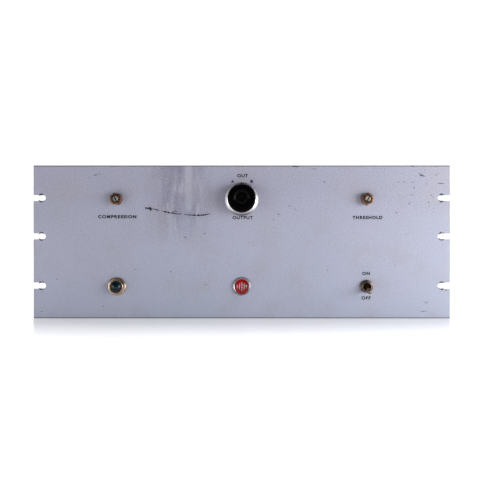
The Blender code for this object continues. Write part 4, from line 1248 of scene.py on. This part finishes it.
lamp_nut_low, lamp_nut_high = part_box("lamp_nut")
piece(
    "lamp_fixing_nut", hex_nut(-lamp_nut_high.y, -lamp_nut_low.y, 0.0087, 0.0222), worn_nickel,
    matrix=lamp_frame, replaces="lamp_nut",
)  # fmt: skip
refinish(moulded, "lamp_socket")
refinish(clear_glass, "lamp_bulb")
filament = turn(
    [
        (0, -0.0120), (0.0020, -0.0120), (0.0020, -0.0090), (0.0006, -0.0085), (0.0006, -0.0060),
        (0, -0.0060),
    ],
    16,
)
piece("lamp_filament_post", filament, tin, matrix=lamp_frame)
socket_back = -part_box("lamp_socket")[1].y
tabs = bmesh.new()
for side in (-1, 1):
    x = side * 0.0030
    bar(tabs, (x - 0.0014, -0.0004, socket_back - 0.0060), (x + 0.0014, 0.0004, socket_back + 0.0040))
ease(piece("lamp_socket_tabs", tabs, tin, matrix=lamp_frame), 0.0002)

body_low, body_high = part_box("toggle_body")
ease(
    piece("toggle_case", clean_copy("toggle_body"), moulded, replaces="toggle_body"),
    0.0005,
)
strap = bmesh.new()
half_x, half_z = (body_high.x - body_low.x) / 2 + 0.0005, (body_high.z - body_low.z) / 2
for side in (-1, 1):
    left, right = sorted((side * half_x, side * (half_x - 0.00045)))
    bar(strap, (left, -half_z * 0.55, -body_low.y - 0.0110), (right, half_z * 0.55, -body_low.y - 0.0002))
ease(piece("toggle_strap", strap, steel, matrix=toggle_frame), 0.0002)
toggle_nut_low, toggle_nut_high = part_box("toggle_back_nut")
piece(
    "toggle_backing_nut", hex_nut(-toggle_nut_high.y, -toggle_nut_low.y, 0.0062, 0.0150), warm_nickel,
    matrix=toggle_frame, replaces="toggle_back_nut",
)  # fmt: skip

# ---------------------------------------------------------------- power transformer
# A stack of varnished iron sheets stands on the deck between two drawn bells, enamelled black.
# Four long bolts clamp the stack. The lower bell hangs through the deck.
bell_low, bell_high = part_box("power_transformer_upper_bell")


def laminations(name, bands):
    material = new_finish(name, (0.085, 0.080, 0.078), 0.5, 0.6)
    tree = material.node_tree
    sheets = {"Vector": own_place(tree), "Scale": 190.0, "Distortion": 0.3}
    lines = node(tree, "ShaderNodeTexWave", sheets, bands_direction=bands)
    varnish = place_group(material, patches, Scale=70.0, Coverage=0.5, Softness=0.3)
    colour = blend_colour(material, varnish["Mask"], (0.060, 0.055, 0.052), (0.135, 0.120, 0.110))
    gaps = between(material, lines.outputs["Fac"], 0.85, 0.0, 0.0, 0.5)
    shade(material, "Base Color", blend_colour(material, gaps, colour, (0.012, 0.011, 0.011)))
    roughen(material, lines.outputs["Fac"], 0.00015, 0.6)
    return material


def rounded(width, depth, radius, steps=8):
    """Points of a rectangle with round corners, centred on the origin."""
    points = []
    for quarter, (sx, sy) in enumerate(((1, 1), (-1, 1), (-1, -1), (1, -1))):
        for i in range(steps + 1):
            a = (quarter + i / steps) * math.pi / 2
            points.append(
                (
                    sx * (width / 2 - radius) + radius * math.cos(a),
                    sy * (depth / 2 - radius) + radius * math.sin(a),
                )
            )
    return points


def loft(sections):
    """A closed body through rounded rectangles, each of (width, depth, radius, height)."""
    shape = bmesh.new()
    rings = [[shape.verts.new((x, y, height)) for x, y in rounded(w, d, r)] for w, d, r, height in sections]
    for low, high in zip(rings, rings[1:]):
        for i in range(len(low)):
            j = (i + 1) % len(low)
            shape.faces.new((low[i], low[j], high[j], high[i]))
    shape.faces.new(reversed(rings[0]))
    shape.faces.new(rings[-1])
    bmesh.ops.recalc_face_normals(shape, faces=shape.faces)
    return shape


stacked = laminations("stacked_iron", "Z")
power_stack = piece(
    "power_transformer_stack", clean_copy("power_transformer_core"), stacked,
    replaces="power_transformer_core",
)  # fmt: skip
ease(power_stack, 0.0004)

stoved_black = new_finish("stoved_black", (0.018, 0.018, 0.019), 0.3, Specular_IOR_Level=0.5)
orange_peel = place_group(stoved_black, patches, Scale=190.0, Coverage=0.45, Softness=0.3)
chipped = place_group(stoved_black, edge_wear, Width=0.0016, Amount=0.9, Scale=160.0)["Mask"]
bell_colour = blend_colour(
    stoved_black, between(stoved_black, orange_peel["Mask"], 0.0, 0.5), (0.014, 0.014, 0.015),
    (0.040, 0.037, 0.035),
)
shade(stoved_black, "Base Color", blend_colour(stoved_black, chipped, bell_colour, (0.16, 0.14, 0.13)))
shade(stoved_black, "Roughness", between(stoved_black, orange_peel["Grain"], 0.22, 0.42))
roughen(stoved_black, orange_peel["Grain"], 0.00012, 0.35)

bell_middle = middle_of("power_transformer_upper_bell")
wide, deep, tall = bell_high.x - bell_low.x, bell_high.y - bell_low.y, bell_high.z - bell_low.z
narrow = (wide - 0.0006, deep - 0.0006, 0.0057)
bell = [(*narrow, 0), (wide, deep, 0.0060, 0.0003), (wide, deep, 0.0060, 0.0011), (*narrow, 0.0014)]
bell += [
    (
        wide - 0.0170 - 0.0030 * t, deep - 0.0160 - 0.0030 * t, 0.0090, 0.0015 + 0.0022 * t
    ) for t in (0, 0.3, 0.7, 1)
]
crown_start, crown = 0.0170, tall - 0.0170
for i in range(1, 13):
    a = math.radians(90 * i / 12)
    inset = 0.0200 + 0.0200 * (1 - math.cos(a))
    bell.append((wide - inset, deep - inset * 0.98, 0.0090, crown_start + crown * math.sin(a)))
piece(
    "power_transformer_bell", loft(bell), stoved_black,
    matrix=Matrix.Translation((bell_middle.x, bell_middle.y, bell_low.z)),
    crease=30, replaces="power_transformer_upper_bell",
)  # fmt: skip
refinish(stoved_black, "power_transformer_lower_bell")
corners = [
    (
        bell_middle.x + sx * (wide / 2 - 0.0055), bell_middle.y + sy * (deep / 2 - 0.0055)
    ) for sx in (-1, 1) for sy in (-1, 1)
]
bolts = bmesh.new()
for count, (x, y) in enumerate(corners):
    place = Matrix.Translation((x, y, bell_low.z + 0.0014)) @ Matrix.Rotation(count * 0.7, 4, "Z")
    join(bolts, turn([(0, 0), (0.0046, 0), (0.0046, 0.0006), (0, 0.0006)], 28), place)
    join(bolts, hex_nut(0.0007, 0.0037, 0.0019, 0.0070, points=48, threaded=False), place)
    join(
        bolts, turn([(0, 0.0006), (0.0018, 0.0006), (0.0018, 0.0050), (0.0014, 0.0056), (0, 0.0056)], 20),
        place,
    )
piece("power_transformer_bolts", bolts, steel)

# ---------------------------------------------------------------- output transformer
# Upright stack of E and I sheets with two feet, screwed down. Varnished cloth tape wraps the
# winding on its middle leg, and cloth-covered leads run down to a grommet.
out_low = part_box("output_transformer_core")[0]
wind_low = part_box("output_transformer_winding")[0]
out_middle = middle_of("output_transformer_core")
upright = laminations("upright_iron", "Y")
output_stack = piece(
    "output_transformer_stack", clean_copy("output_transformer_core"), upright,
    replaces="output_transformer_core",
)  # fmt: skip
ease(output_stack, 0.0003)

cloth_tape = new_finish("varnished_tape", (0.42, 0.30, 0.12), 0.38, Specular_IOR_Level=0.5)
tape_tree = cloth_tape.node_tree
tape_place = own_place(tape_tree)
lapped = {"Vector": tape_place, "Scale": 48.0, "Distortion": 0.8}
laps = node(tape_tree, "ShaderNodeTexWave", lapped, bands_direction="Z", wave_profile="SAW").outputs["Fac"]
weave = node(tape_tree, "ShaderNodeTexNoise", {"Vector": tape_place, "Scale": 1600.0, "Detail": 2.0})
amber = place_group(cloth_tape, patches, Scale=60.0, Coverage=0.5, Softness=0.3)
tape_colour = blend_colour(cloth_tape, amber["Mask"], (0.30, 0.19, 0.065), (0.50, 0.36, 0.15))
seams = between(cloth_tape, laps, 0.55, 0.0, 0.0, 0.18)
shade(cloth_tape, "Base Color", blend_colour(cloth_tape, seams, tape_colour, (0.16, 0.09, 0.03)))
roughen(cloth_tape, maths(tape_tree, "MULTIPLY_ADD", weave.outputs[0], 0.3, laps), 0.0003, 0.5)
tape = piece(
    "output_transformer_tape", clean_copy("output_transformer_winding"), cloth_tape,
    replaces="output_transformer_winding",
)  # fmt: skip
ease(tape, 0.0010, 3)
feet = [
    Matrix.Translation((out_middle.x + side * 0.0340, out_middle.y, out_low.z + sheet)) for side in (-1, 1)
]
screws("output_transformer_screws", feet, 0.0032, steel, washer=0.0006)

wire_colours = {
    "red": (0.30, 0.020, 0.015), "yellow": (0.50, 0.34, 0.05), "green": (0.030, 0.14, 0.060),
    "brown": (0.11, 0.050, 0.022), "white": (0.52, 0.49, 0.42), "black": (0.014, 0.013, 0.013),
}  # fmt: skip
wire_finish = {}
for name, colour in wire_colours.items():
    cover = new_finish(f"{name}_cloth", colour, 0.75, Sheen_Weight=0.2)
    braid = node(
        cover.node_tree, "ShaderNodeTexNoise", {"Vector": own_place(cover.node_tree), "Scale": 2600.0}
    )
    tone = between(cover, braid.outputs[0], 0.0, 0.6, 0.35, 0.65)
    shade(cover, "Base Color", blend_colour(cover, tone, colour, tuple(value * 0.45 for value in colour)))
    roughen(cover, braid.outputs[0], 0.0001, 0.5)
    wire_finish[name] = cover


def wire(name, points, finish, radius=0.0008):
    """A covered wire along a smooth line through its points."""
    line = bpy.data.curves.new(name, "CURVE")
    line.dimensions = "3D"
    line.bevel_depth = radius
    line.bevel_resolution = 3
    line.use_fill_caps = True
    line.resolution_u = 8
    spline = line.splines.new("NURBS")
    spline.points.add(len(points) - 1)
    for knot, place in zip(spline.points, points):
        knot.co = (*place, 1.0)
    spline.order_u = 4
    spline.use_endpoint_u = True
    line.materials.append(finish)
    made = bpy.data.objects.new(name, line)
    scene.collection.objects.link(made)
    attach(made, "frame")


def grommet(name, x, y, radius=0.0055):
    """A black rubber ring snapped into a lead hole of the deck."""
    lip = [(-0.0012, 0.0013), (0.0014, 0.0013), (0.0020, 0.0008), (0.0020, 0.00005), (-0.0002, 0.00005)]
    lip += [
        (-0.0002, -0.0017), (0.0016, -0.0017), (0.0016, -0.0026), (-0.0010, -0.0026), (-0.0014, -0.0008)
    ]
    profile = [(radius + across, height) for across, height in lip]
    piece(name, turn(profile, 40), rubber, matrix=Matrix.Translation((x, y, deck)))


rubber, _ = mottled("black_rubber", (0.010, 0.010, 0.011), (0.045, 0.043, 0.042), 0.7, 300.0, 0.45)

# The leads lie down the winding's side and pass under the stack into the deck
for count, name in enumerate(("red", "yellow", "green", "brown", "black")):
    x, y, z = out_middle.x + (count - 2) * 0.0042, wind_low.y, wind_low.z
    path = [(x, y + 0.0020, z + 0.0100), (x, y - 0.0012, z + 0.0060), (x, y - 0.0022, z - 0.0030)]
    path += [(x, y - 0.0004, deck + 0.0030), (x, y + 0.0010, deck + 0.0003)]
    wire(f"output_transformer_lead_{name}", path, wire_finish[name])

# ---------------------------------------------------------------- input transformer
# A small transformer sealed in a drawn can of shielding alloy, with a flange that two screws hold
# to the deck. The can is annealed, so it is a soft dull grey.
can_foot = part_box("input_transformer")[0].z
can_middle = middle_of("input_transformer")
annealed = metal("annealed_alloy", (0.50, 0.50, 0.49), (0.34, 0.33, 0.33), 0.42, scale=45.0, coverage=0.5)
shield_can = [
    (0, 0), (0.0238, 0), (0.0240, 0.0002), (0.0240, 0.0014), (0.0238, 0.0016), (0.0215, 0.0017),
    *arc((0.0215, 0.0032), 0.0015, 270, 180, 6),
]
shield_can += [(0.0200, 0.0540), *arc((0.0160, 0.0550), 0.0040, 0, 90, 10), (0, 0.0590)]
piece(
    "input_transformer_can", turn(shield_can, 96), annealed,
    matrix=Matrix.Translation((can_middle.x, can_middle.y, can_foot)),
    replaces="input_transformer",
)  # fmt: skip
ears = [
    Matrix.Translation((can_middle.x + side * 0.0222, can_middle.y, can_foot + 0.0017)) for side in (-1, 1)
]
screws("input_transformer_screws", ears, 0.0015, steel)

# ---------------------------------------------------------------- filter capacitors
# Two can electrolytics stand in clamp rings, twisted into the deck by their tabs. Each aluminium
# can is beaded near its foot and crimped over a laminate disc with a rubber vent plug on top.
for number in (1, 2):
    middle = middle_of(f"filter_capacitor_{number}")
    stand = Matrix.Translation((middle.x, middle.y, deck + stand_off))
    can = [
        (0, -0.0060), (0.0100, -0.0060), (0.0100, 0), (0.0175, 0.0003), (0.0175, 0.0058),
        *arc((0.0181, 0.0070), 0.0012, 230, 130, 6),
    ]
    can += [
        (0.0175, 0.0082), (0.0175, 0.0700), *arc((0.0181, 0.0712), 0.0010, 215, 145, 5), (0.0175, 0.0724)
    ]
    can += [*arc((0.0166, 0.0741), 0.0009, 0, 180, 8), (0.0155, 0.0728), (0, 0.0728)]
    piece(
        f"filter_capacitor_{number}_can", turn(can, 96), drawn, matrix=stand,
        replaces=f"filter_capacitor_{number}",
    )
    disc = turn([(0, 0.0729), (0.0154, 0.0729), (0.0154, 0.0734), (0, 0.0734)], 64)
    piece(f"filter_capacitor_{number}_disc", disc, brown_board, matrix=stand)
    plug = turn([(0, 0.0735), (0.0030, 0.0735), (0.0028, 0.0742), (0.0015, 0.0744), (0, 0.0744)], 32)
    piece(f"filter_capacitor_{number}_vent", plug, rubber, matrix=stand)
    clamp = [
        (0.0177, 0.0001), (0.0218, 0.0001), (0.0220, 0.0003), (0.0220, 0.0012), (0.0186, 0.0014),
        (0.0181, 0.0020), (0.0181, 0.0052), (0.0177, 0.0052),
    ]
    clamp_ring = turn(clamp, 72)
    bar(clamp_ring, (0.0178, -0.0040, 0.0018), (0.0225, -0.0028, 0.0050))
    bar(clamp_ring, (0.0178, 0.0028, 0.0018), (0.0225, 0.0040, 0.0050))
    piece(f"filter_capacitor_{number}_clamp", clamp_ring, steel, matrix=stand)
    pinch = stand @ Matrix.Translation((0.0205, -0.0040, 0.0034)) @ Matrix.Rotation(math.pi / 2, 4, "X")
    screws(f"filter_capacitor_{number}_pinch_screw", [pinch], 0.0014, steel)

# ---------------------------------------------------------------- tubes and their shields
# Three miniature tubes plug into moulded sockets. Each glass envelope holds a grey plate between
# mica discs under a silvery getter, inside a spun shield that locks on its base by bayonet slots.
mica = new_finish("mica", (0.55, 0.52, 0.44), 0.25, Transmission_Weight=0.3)
getter = metal("getter_film", (0.30, 0.29, 0.29), (0.10, 0.09, 0.09), 0.12, scale=300.0)
carbon_grey = new_finish("carbonised_plate", (0.045, 0.045, 0.047), 0.6, 0.7)
dull_shield = metal("dull_shield", (0.60, 0.60, 0.60), (0.42, 0.41, 0.40), 0.3, scale=110.0, coverage=0.42)
for number in (1, 2, 3):
    middle = middle_of(f"tube_{number}")
    stand = Matrix.Translation((middle.x, middle.y, deck + stand_off))
    refinish(clear_glass, f"tube_{number}")
    electrodes = loft([(0.0140, 0.0064, 0.0020, 0.0100), (0.0140, 0.0064, 0.0020, 0.0360)])
    ease(piece(f"tube_{number}_plate", electrodes, carbon_grey, matrix=stand), 0.0003)
    spacers = turn([(0, 0.0086), (0.0092, 0.0086), (0.0092, 0.0090), (0, 0.0090)], 40)
    join(spacers, turn([(0, 0.0370), (0.0092, 0.0370), (0.0092, 0.0374), (0, 0.0374)], 40))
    piece(f"tube_{number}_mica", spacers, mica, matrix=stand)
    film = turn([(0, 0.0400), (0.0030, 0.0400), (0.0030, 0.0406), (0, 0.0406)], 30)
    piece(f"tube_{number}_getter", film, getter, matrix=stand)
    shield = [
        (0.0112, 0), (0.0149, 0), (0.0150, 0.0002), (0.0150, 0.0009), (0.0122, 0.0011), (0.0117, 0.0016),
        (0.0117, 0.0086), (0.0119, 0.0090),
    ]
    shield += [
        (0.0119, 0.0112), (0.0117, 0.0116), (0.0117, 0.0440), (0.0119, 0.0444), (0.0119, 0.0484),
        *arc((0.0089, 0.0487), 0.0030, 5, 85, 8),
    ]
    shield += [
        (0.0079, 0.0520), (0.0074, 0.0519), (0.0072, 0.0516), (0.0074, 0.0513), (0.0089, 0.0511),
        (0.0108, 0.0500), (0.0112, 0.0484),
    ]
    made = piece(
        f"tube_{number}_shield_can", turn(shield, 72), dull_shield, matrix=stand,
        replaces=f"tube_shield_{number}",
    )
    slots = bmesh.new()
    for side in (0, 1):
        notch = bmesh.new()
        bar(notch, (0.0100, -0.0012, 0.0200), (0.0135, 0.0012, 0.0380))
        join(slots, notch, stand @ Matrix.Rotation(math.radians(30 + 180 * side), 4, "Z"))
    cut(made, slots, "bayonet_slots")
    holder = turn([(0, -0.0135), (0.0092, -0.0135), (0.0096, -0.0131), (0.0096, -0.0066), (0, -0.0066)], 48)
    piece(f"tube_{number}_socket", holder, moulded, matrix=stand)
    tails = bmesh.new()
    for count in range(9):
        tail = bmesh.new()
        bar(tail, (0.0066, -0.0008, -0.0190), (0.0070, 0.0008, -0.0134))
        join(tails, tail, Matrix.Rotation(math.radians(18 + 36 * count), 4, "Z"))
    piece(f"tube_{number}_socket_tails", tails, tin, matrix=stand)

# ---------------------------------------------------------------- component board
# A strip of paper laminate on four posts under the deck. Resistors and tubular capacitors lie
# between two rows of turret lugs, soldered by their own leads.
board_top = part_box("component_board")[0].z + sheet
board_middle = middle_of("component_board")
carbon = new_finish("resistor_body", (0.17, 0.085, 0.045), 0.4)
band_finish = [wire_finish[name] for name in ("red", "yellow", "green", "brown", "black", "white")]
wax, _ = mottled("waxed_paper", (0.34, 0.21, 0.06), (0.52, 0.37, 0.14), 0.45, 200.0)
turrets, leads, resistors, capacitors = bmesh.new(), bmesh.new(), bmesh.new(), bmesh.new()
band_shapes = [bmesh.new() for _ in band_finish]
turret = [
    (0, 0), (0.0016, 0), (0.0016, 0.0006), (0.0009, 0.0010), (0.0009, 0.0024), (0.0015, 0.0028),
    (0.0015, 0.0034), (0, 0.0036),
]
columns, row_gap = 18, 0.0340


def barrel_of(half, radius, inset, taper):
    """The profile of a small cylinder whose ends are chamfered."""
    end = radius - inset
    return [
        (0, -half), (end, -half), (radius, -half + taper), (radius, half - taper), (end, half), (0, half)
    ]


pick = random.Random(11)
for column in range(columns):
    x = board_middle.x + (column - (columns - 1) / 2) * 0.0096
    for side in (-1, 1):
        join(
            turrets, turn(turret, 16),
            Matrix.Translation((x, board_middle.y + side * row_gap / 2, board_top + 0.00002)),
        )
    lying = Matrix.Translation(
        (x, board_middle.y, board_top + 0.0042)
    ) @ Matrix.Rotation(math.pi / 2, 4, "X")
    lead_end = row_gap / 2
    lead = turn([(0, -lead_end), (0.0003, -lead_end), (0.0003, lead_end), (0, lead_end)], 8)
    join(leads, lead, Matrix.Translation((0, 0, -0.0014)) @ lying)
    if column % 3 == 2:
        join(capacitors, turn(barrel_of(0.0120, 0.0036, 0.0002, 0.0003), 24), lying)
        continue
    join(resistors, turn(barrel_of(0.0052, 0.0022, 0.0003, 0.0004), 20), lying)
    for stripe in range(3):
        at = -0.0032 + stripe * 0.0018
        join(
            pick.choice(band_shapes),
            turn([(0.0020, at), (0.00228, at), (0.00228, at + 0.0009), (0.0020, at + 0.0009)], 20), lying,
        )
piece("board_turrets", turrets, tin)
piece("board_leads", leads, tin)
piece("board_resistors", resistors, carbon)
piece("board_capacitors", capacitors, wax)
for count, (shape, finish) in enumerate(zip(band_shapes, band_finish), 1):
    piece(f"board_colour_bands_{count}", shape, finish)

# ---------------------------------------------------------------- rear connectors
# A moulded barrier strip with eight numbered screws takes the signal leads. A knurled fuse cap, the
# mains inlet with two flat blades, and a brass ground post share the apron's lower row.
strip_low, strip_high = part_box("terminal_strip")
strip_middle = middle_of("terminal_strip")
ease(
    piece(
        "terminal_strip_moulding", clean_copy("terminal_strip"), moulded, replaces="terminal_strip",
    ),
    0.0003,
)
terminal_pitch, strip_floor = 0.0111, strip_low.y + 0.0070
seats, plates = [], bmesh.new()
for count in range(8):
    x = strip_middle.x + (count - 3.5) * terminal_pitch
    seats.append(facing_back(x, strip_middle.z, strip_floor + 0.0008))
    z = strip_middle.z
    bar(
        plates, (x - 0.0042, strip_floor + 0.00005, z - 0.0080),
        (x + 0.0042, strip_floor + 0.0008, z + 0.0080),
    )
    legend(
        f"terminal_number_{8 - count}", str(8 - count), x, strip_high.z + 0.0042, 0.0020, 0.0032,
        rear_face + skin, math.pi,
    )
ease(piece("terminal_plates", plates, tin), 0.0002)
screws("terminal_screws", seats, 0.0033, steel)
strip_ends = [
    facing_back(
        strip_middle.x + side * (strip_high.x - strip_low.x - 0.0080) / 2, strip_middle.z, strip_floor
    ) for side in (-1, 1)
]
screws("terminal_strip_screws", strip_ends, 0.0026, steel)

fuse_middle = middle_of("fuse_holder")
fuse_frame = facing_back(fuse_middle.x, fuse_middle.z, rear_face + stand_off)
holder = [
    (0.0046, -0.0380), (0.0062, -0.0380), *thread(0.0062, thread_depth, -0.0200, -0.0004), (0.0062, 0),
    (0.0086, 0), (0.0088, 0.0002), (0.0088, 0.0020),
]
holder += [(0.0086, 0.0023), (0.0076, 0.0030), (0.0046, 0.0030)]
piece(
    "fuse_holder_moulding", turn(holder, 72), moulded, matrix=fuse_frame, replaces="fuse_holder",
)
knob_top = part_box("fuse_cap")[1].y - rear_face - stand_off
fuse_knob = [
    (0, -0.0340), (0.0034, -0.0340), (0.0034, 0.0033), (0.0069, 0.0033), (0.0071, 0.0035),
    (0.0071, knob_top - 0.0014), (0.0066, knob_top - 0.0004),
]
fuse_knob += [(0.0060, knob_top), (0, knob_top)]
fuse_cap = piece(
    "fuse_cap_knob", turn(fuse_knob, 144, 24, 0.0005, {4, 5}), moulded, "fuse_carrier", fuse_frame,
    replaces="fuse_cap",
)
# The cap's coin slot is cut and lined with painted shade.
kerf = bmesh.new()
bar(kerf, (-0.0080, -0.0007, knob_top - 0.0012), (0.0080, 0.0007, knob_top + 0.0010))
bmesh.ops.transform(kerf, matrix=fuse_frame, verts=kerf.verts)
cut(fuse_cap, kerf, "coin_slot", recess_shade)

inlet_low, inlet_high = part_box("mains_inlet")
inlet_middle = middle_of("mains_inlet")
inlet_frame = facing_back(inlet_middle.x, inlet_middle.z, inlet_low.y)
mouth = inlet_high.y - inlet_low.y
inlet = [(0.0440, 0.0280, 0.0040, 0), (0.0440, 0.0280, 0.0040, 0.0016), (0.0434, 0.0274, 0.0037, 0.0019)]
inlet += [
    (0.0300, 0.0200, 0.0030, 0.0020), (0.0300, 0.0200, 0.0030, mouth - 0.0004),
    (0.0294, 0.0194, 0.0027, mouth),
]
inlet_made = piece(
    "mains_inlet_moulding", loft(inlet), moulded, matrix=inlet_frame, replaces="mains_inlet",
)
hollow = loft([(0.0250, 0.0150, 0.0020, 0.0040), (0.0250, 0.0150, 0.0020, mouth + 0.0010)])
bmesh.ops.transform(hollow, matrix=inlet_frame, verts=hollow.verts)
cut(inlet_made, hollow, "inlet_hollow")
blades = bmesh.new()
for side in (-1, 1):
    bar(blades, (side * 0.0062 - 0.0008, -0.0032, 0.0030), (side * 0.0062 + 0.0008, 0.0032, mouth - 0.0030))
ease(piece("mains_inlet_blades", blades, grey_nickel, matrix=inlet_frame), 0.0004)
screws(
    "mains_inlet_screws",
    [facing_back(inlet_middle.x + side * 0.0184, inlet_middle.z, inlet_low.y + 0.0020) for side in (-1, 1)],
    0.0024, steel
)

post_frame = facing_back(0.005, inlet_middle.z, rear_face)
post = turn([(0, 0), (0.0060, 0), (0.0060, 0.0010), (0.0048, 0.0011), (0, 0.0011)], 40)
join(post, hex_nut(0.0012, 0.0040, 0.0020, 0.0080, points=48, threaded=False))
join(
    post,
    turn(
        [
            (0, 0.0010), (0.0018, 0.0010), *thread(0.0020, 0.0002, 0.0041, 0.0150, 0.0006)[1:-1],
            (0.0014, 0.0152), (0, 0.0152),
        ],
        32,
    ),
)
join(
    post,
    turn(
        [
            (0.0021, 0.0070), (0.0048, 0.0070), (0.0050, 0.0072), (0.0050, 0.0108), (0.0048, 0.0110),
            (0.0021, 0.0110),
        ],
        120, 30, 0.0003, {2, 3},
    ),
)
piece("ground_post", post, oxide_brass, matrix=post_frame)

# ---------------------------------------------------------------- laced wire bundles
# Cloth-covered wires run from each control down through a rubber grommet to the board, twisted
# together and tied with waxed cord every half inch.
over_board = board_top + 0.0050
left_x, right_x = middle_of("compression_case").x, middle_of("threshold_case").x
routes = {
    "compression": (
        (left_x, 0.0145, wafer_middle.z - 0.0250), (left_x, 0.0170, wafer_middle.z - 0.0360),
        (-0.140, 0.028, 0.085), (-0.132, 0.034, 0.070),
        (-0.132, 0.034, 0.058), (-0.122, 0.046, over_board + 0.003), (-0.105, 0.066, over_board),
        (-0.085, 0.085, over_board),
    ),
    "selector": (
        (0.004, 0.0310, wafer_middle.z - 0.0225), (0.006, 0.0350, wafer_middle.z - 0.0330),
        (0.018, 0.045, 0.090),
        (0.026, 0.050, 0.072),
        (0.026, 0.050, 0.058), (0.024, 0.062, over_board + 0.002), (0.010, 0.080, over_board),
        (-0.010, 0.095, over_board),
    ),
    "threshold": (
        (right_x, 0.0145, wafer_middle.z - 0.0250), (right_x, 0.0170, wafer_middle.z - 0.0360),
        (0.136, 0.028, 0.085), (0.124, 0.034, 0.070),
        (0.124, 0.034, 0.058), (0.108, 0.042, over_board + 0.003), (0.075, 0.056, over_board),
        (0.035, 0.082, over_board),
    ),
}  # fmt: skip
lacing = new_finish("waxed_lacing", (0.40, 0.34, 0.22), 0.6)


def along(points, spacing=0.0030):
    """Even steps along a Catmull-Rom curve through the points, each with its direction."""
    route = [Vector(point) for point in points]
    route = [2 * route[0] - route[1], *route, 2 * route[-1] - route[-2]]
    steps = []
    for a, b, c, d in zip(route, route[1:], route[2:], route[3:]):
        count = max(2, round((c - b).length / spacing))
        for i in range(count):
            t = i / count
            bend, twist = 2 * a - 5 * b + 4 * c - d, 3 * b - a - 3 * c + d
            place = 0.5 * (2 * b + (c - a) * t + bend * t**2 + twist * t**3)
            steps.append((place, (0.5 * ((c - a) + 2 * bend * t + 3 * twist * t**2)).normalized()))
    return steps


def ring_round(heading, angle, radius):
    """A point at an angle on a ring square to a heading."""
    side = heading.cross(Vector((0.3, 0.2, 1.0))).normalized()
    return radius * (math.cos(angle) * side + math.sin(angle) * heading.cross(side))


def soldered(name):
    """Where a bundle's five wires are soldered: the lower clips of the wafer, or a pot's lugs."""
    if name == "selector":
        angles = [math.radians(225 + 30 * i) for i in range(5)]
        return [
            selector_frame @ Vector(
                (0.0167 * math.cos(a), 0.0167 * math.sin(a), wafer_back - 0.0026)
            ) for a in angles
        ]
    axis = middle_of(f"{name}_lock_nut")
    depth = lug_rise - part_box(f"{name}_case")[1].y
    return [
        facing_out(axis.x, axis.z) @ Vector(
            (side * lug_pitch, -0.0198, depth)
        ) for side in (-1, -1, 0, 1, 1)
    ]


for name, points in routes.items():
    steps = along(points)
    ends = soldered(name)
    for strand, tint in enumerate(("red", "yellow", "green", "brown", "white")):
        path = []
        for count, (place, heading) in enumerate(steps):
            path.append(place + ring_round(heading, 2 * math.pi * strand / 5 + count * 0.14, 0.00135))
        path = [ends[strand], ends[strand] - Vector((0, 0, 0.0022)), *path]
        wire(f"{name}_wire_{tint}", path, wire_finish[tint], 0.0008)
    ties = bmesh.new()
    for place, heading in steps[3::5]:
        band = turn([(0.00215, -0.0005), (0.0025, -0.0003), (0.0025, 0.0003), (0.00215, 0.0005)], 20)
        join(ties, band, Matrix.Translation(place) @ heading.to_track_quat("Z", "Y").to_matrix().to_4x4())
    piece(f"{name}_lacing", ties, lacing, replaces=f"{name}_harness")
for name, (x, y) in {
    "compression": (-0.132, 0.034), "selector": (0.026, 0.050), "threshold": (0.124, 0.034)
}.items():
    grommet(f"{name}_grommet", x, y)
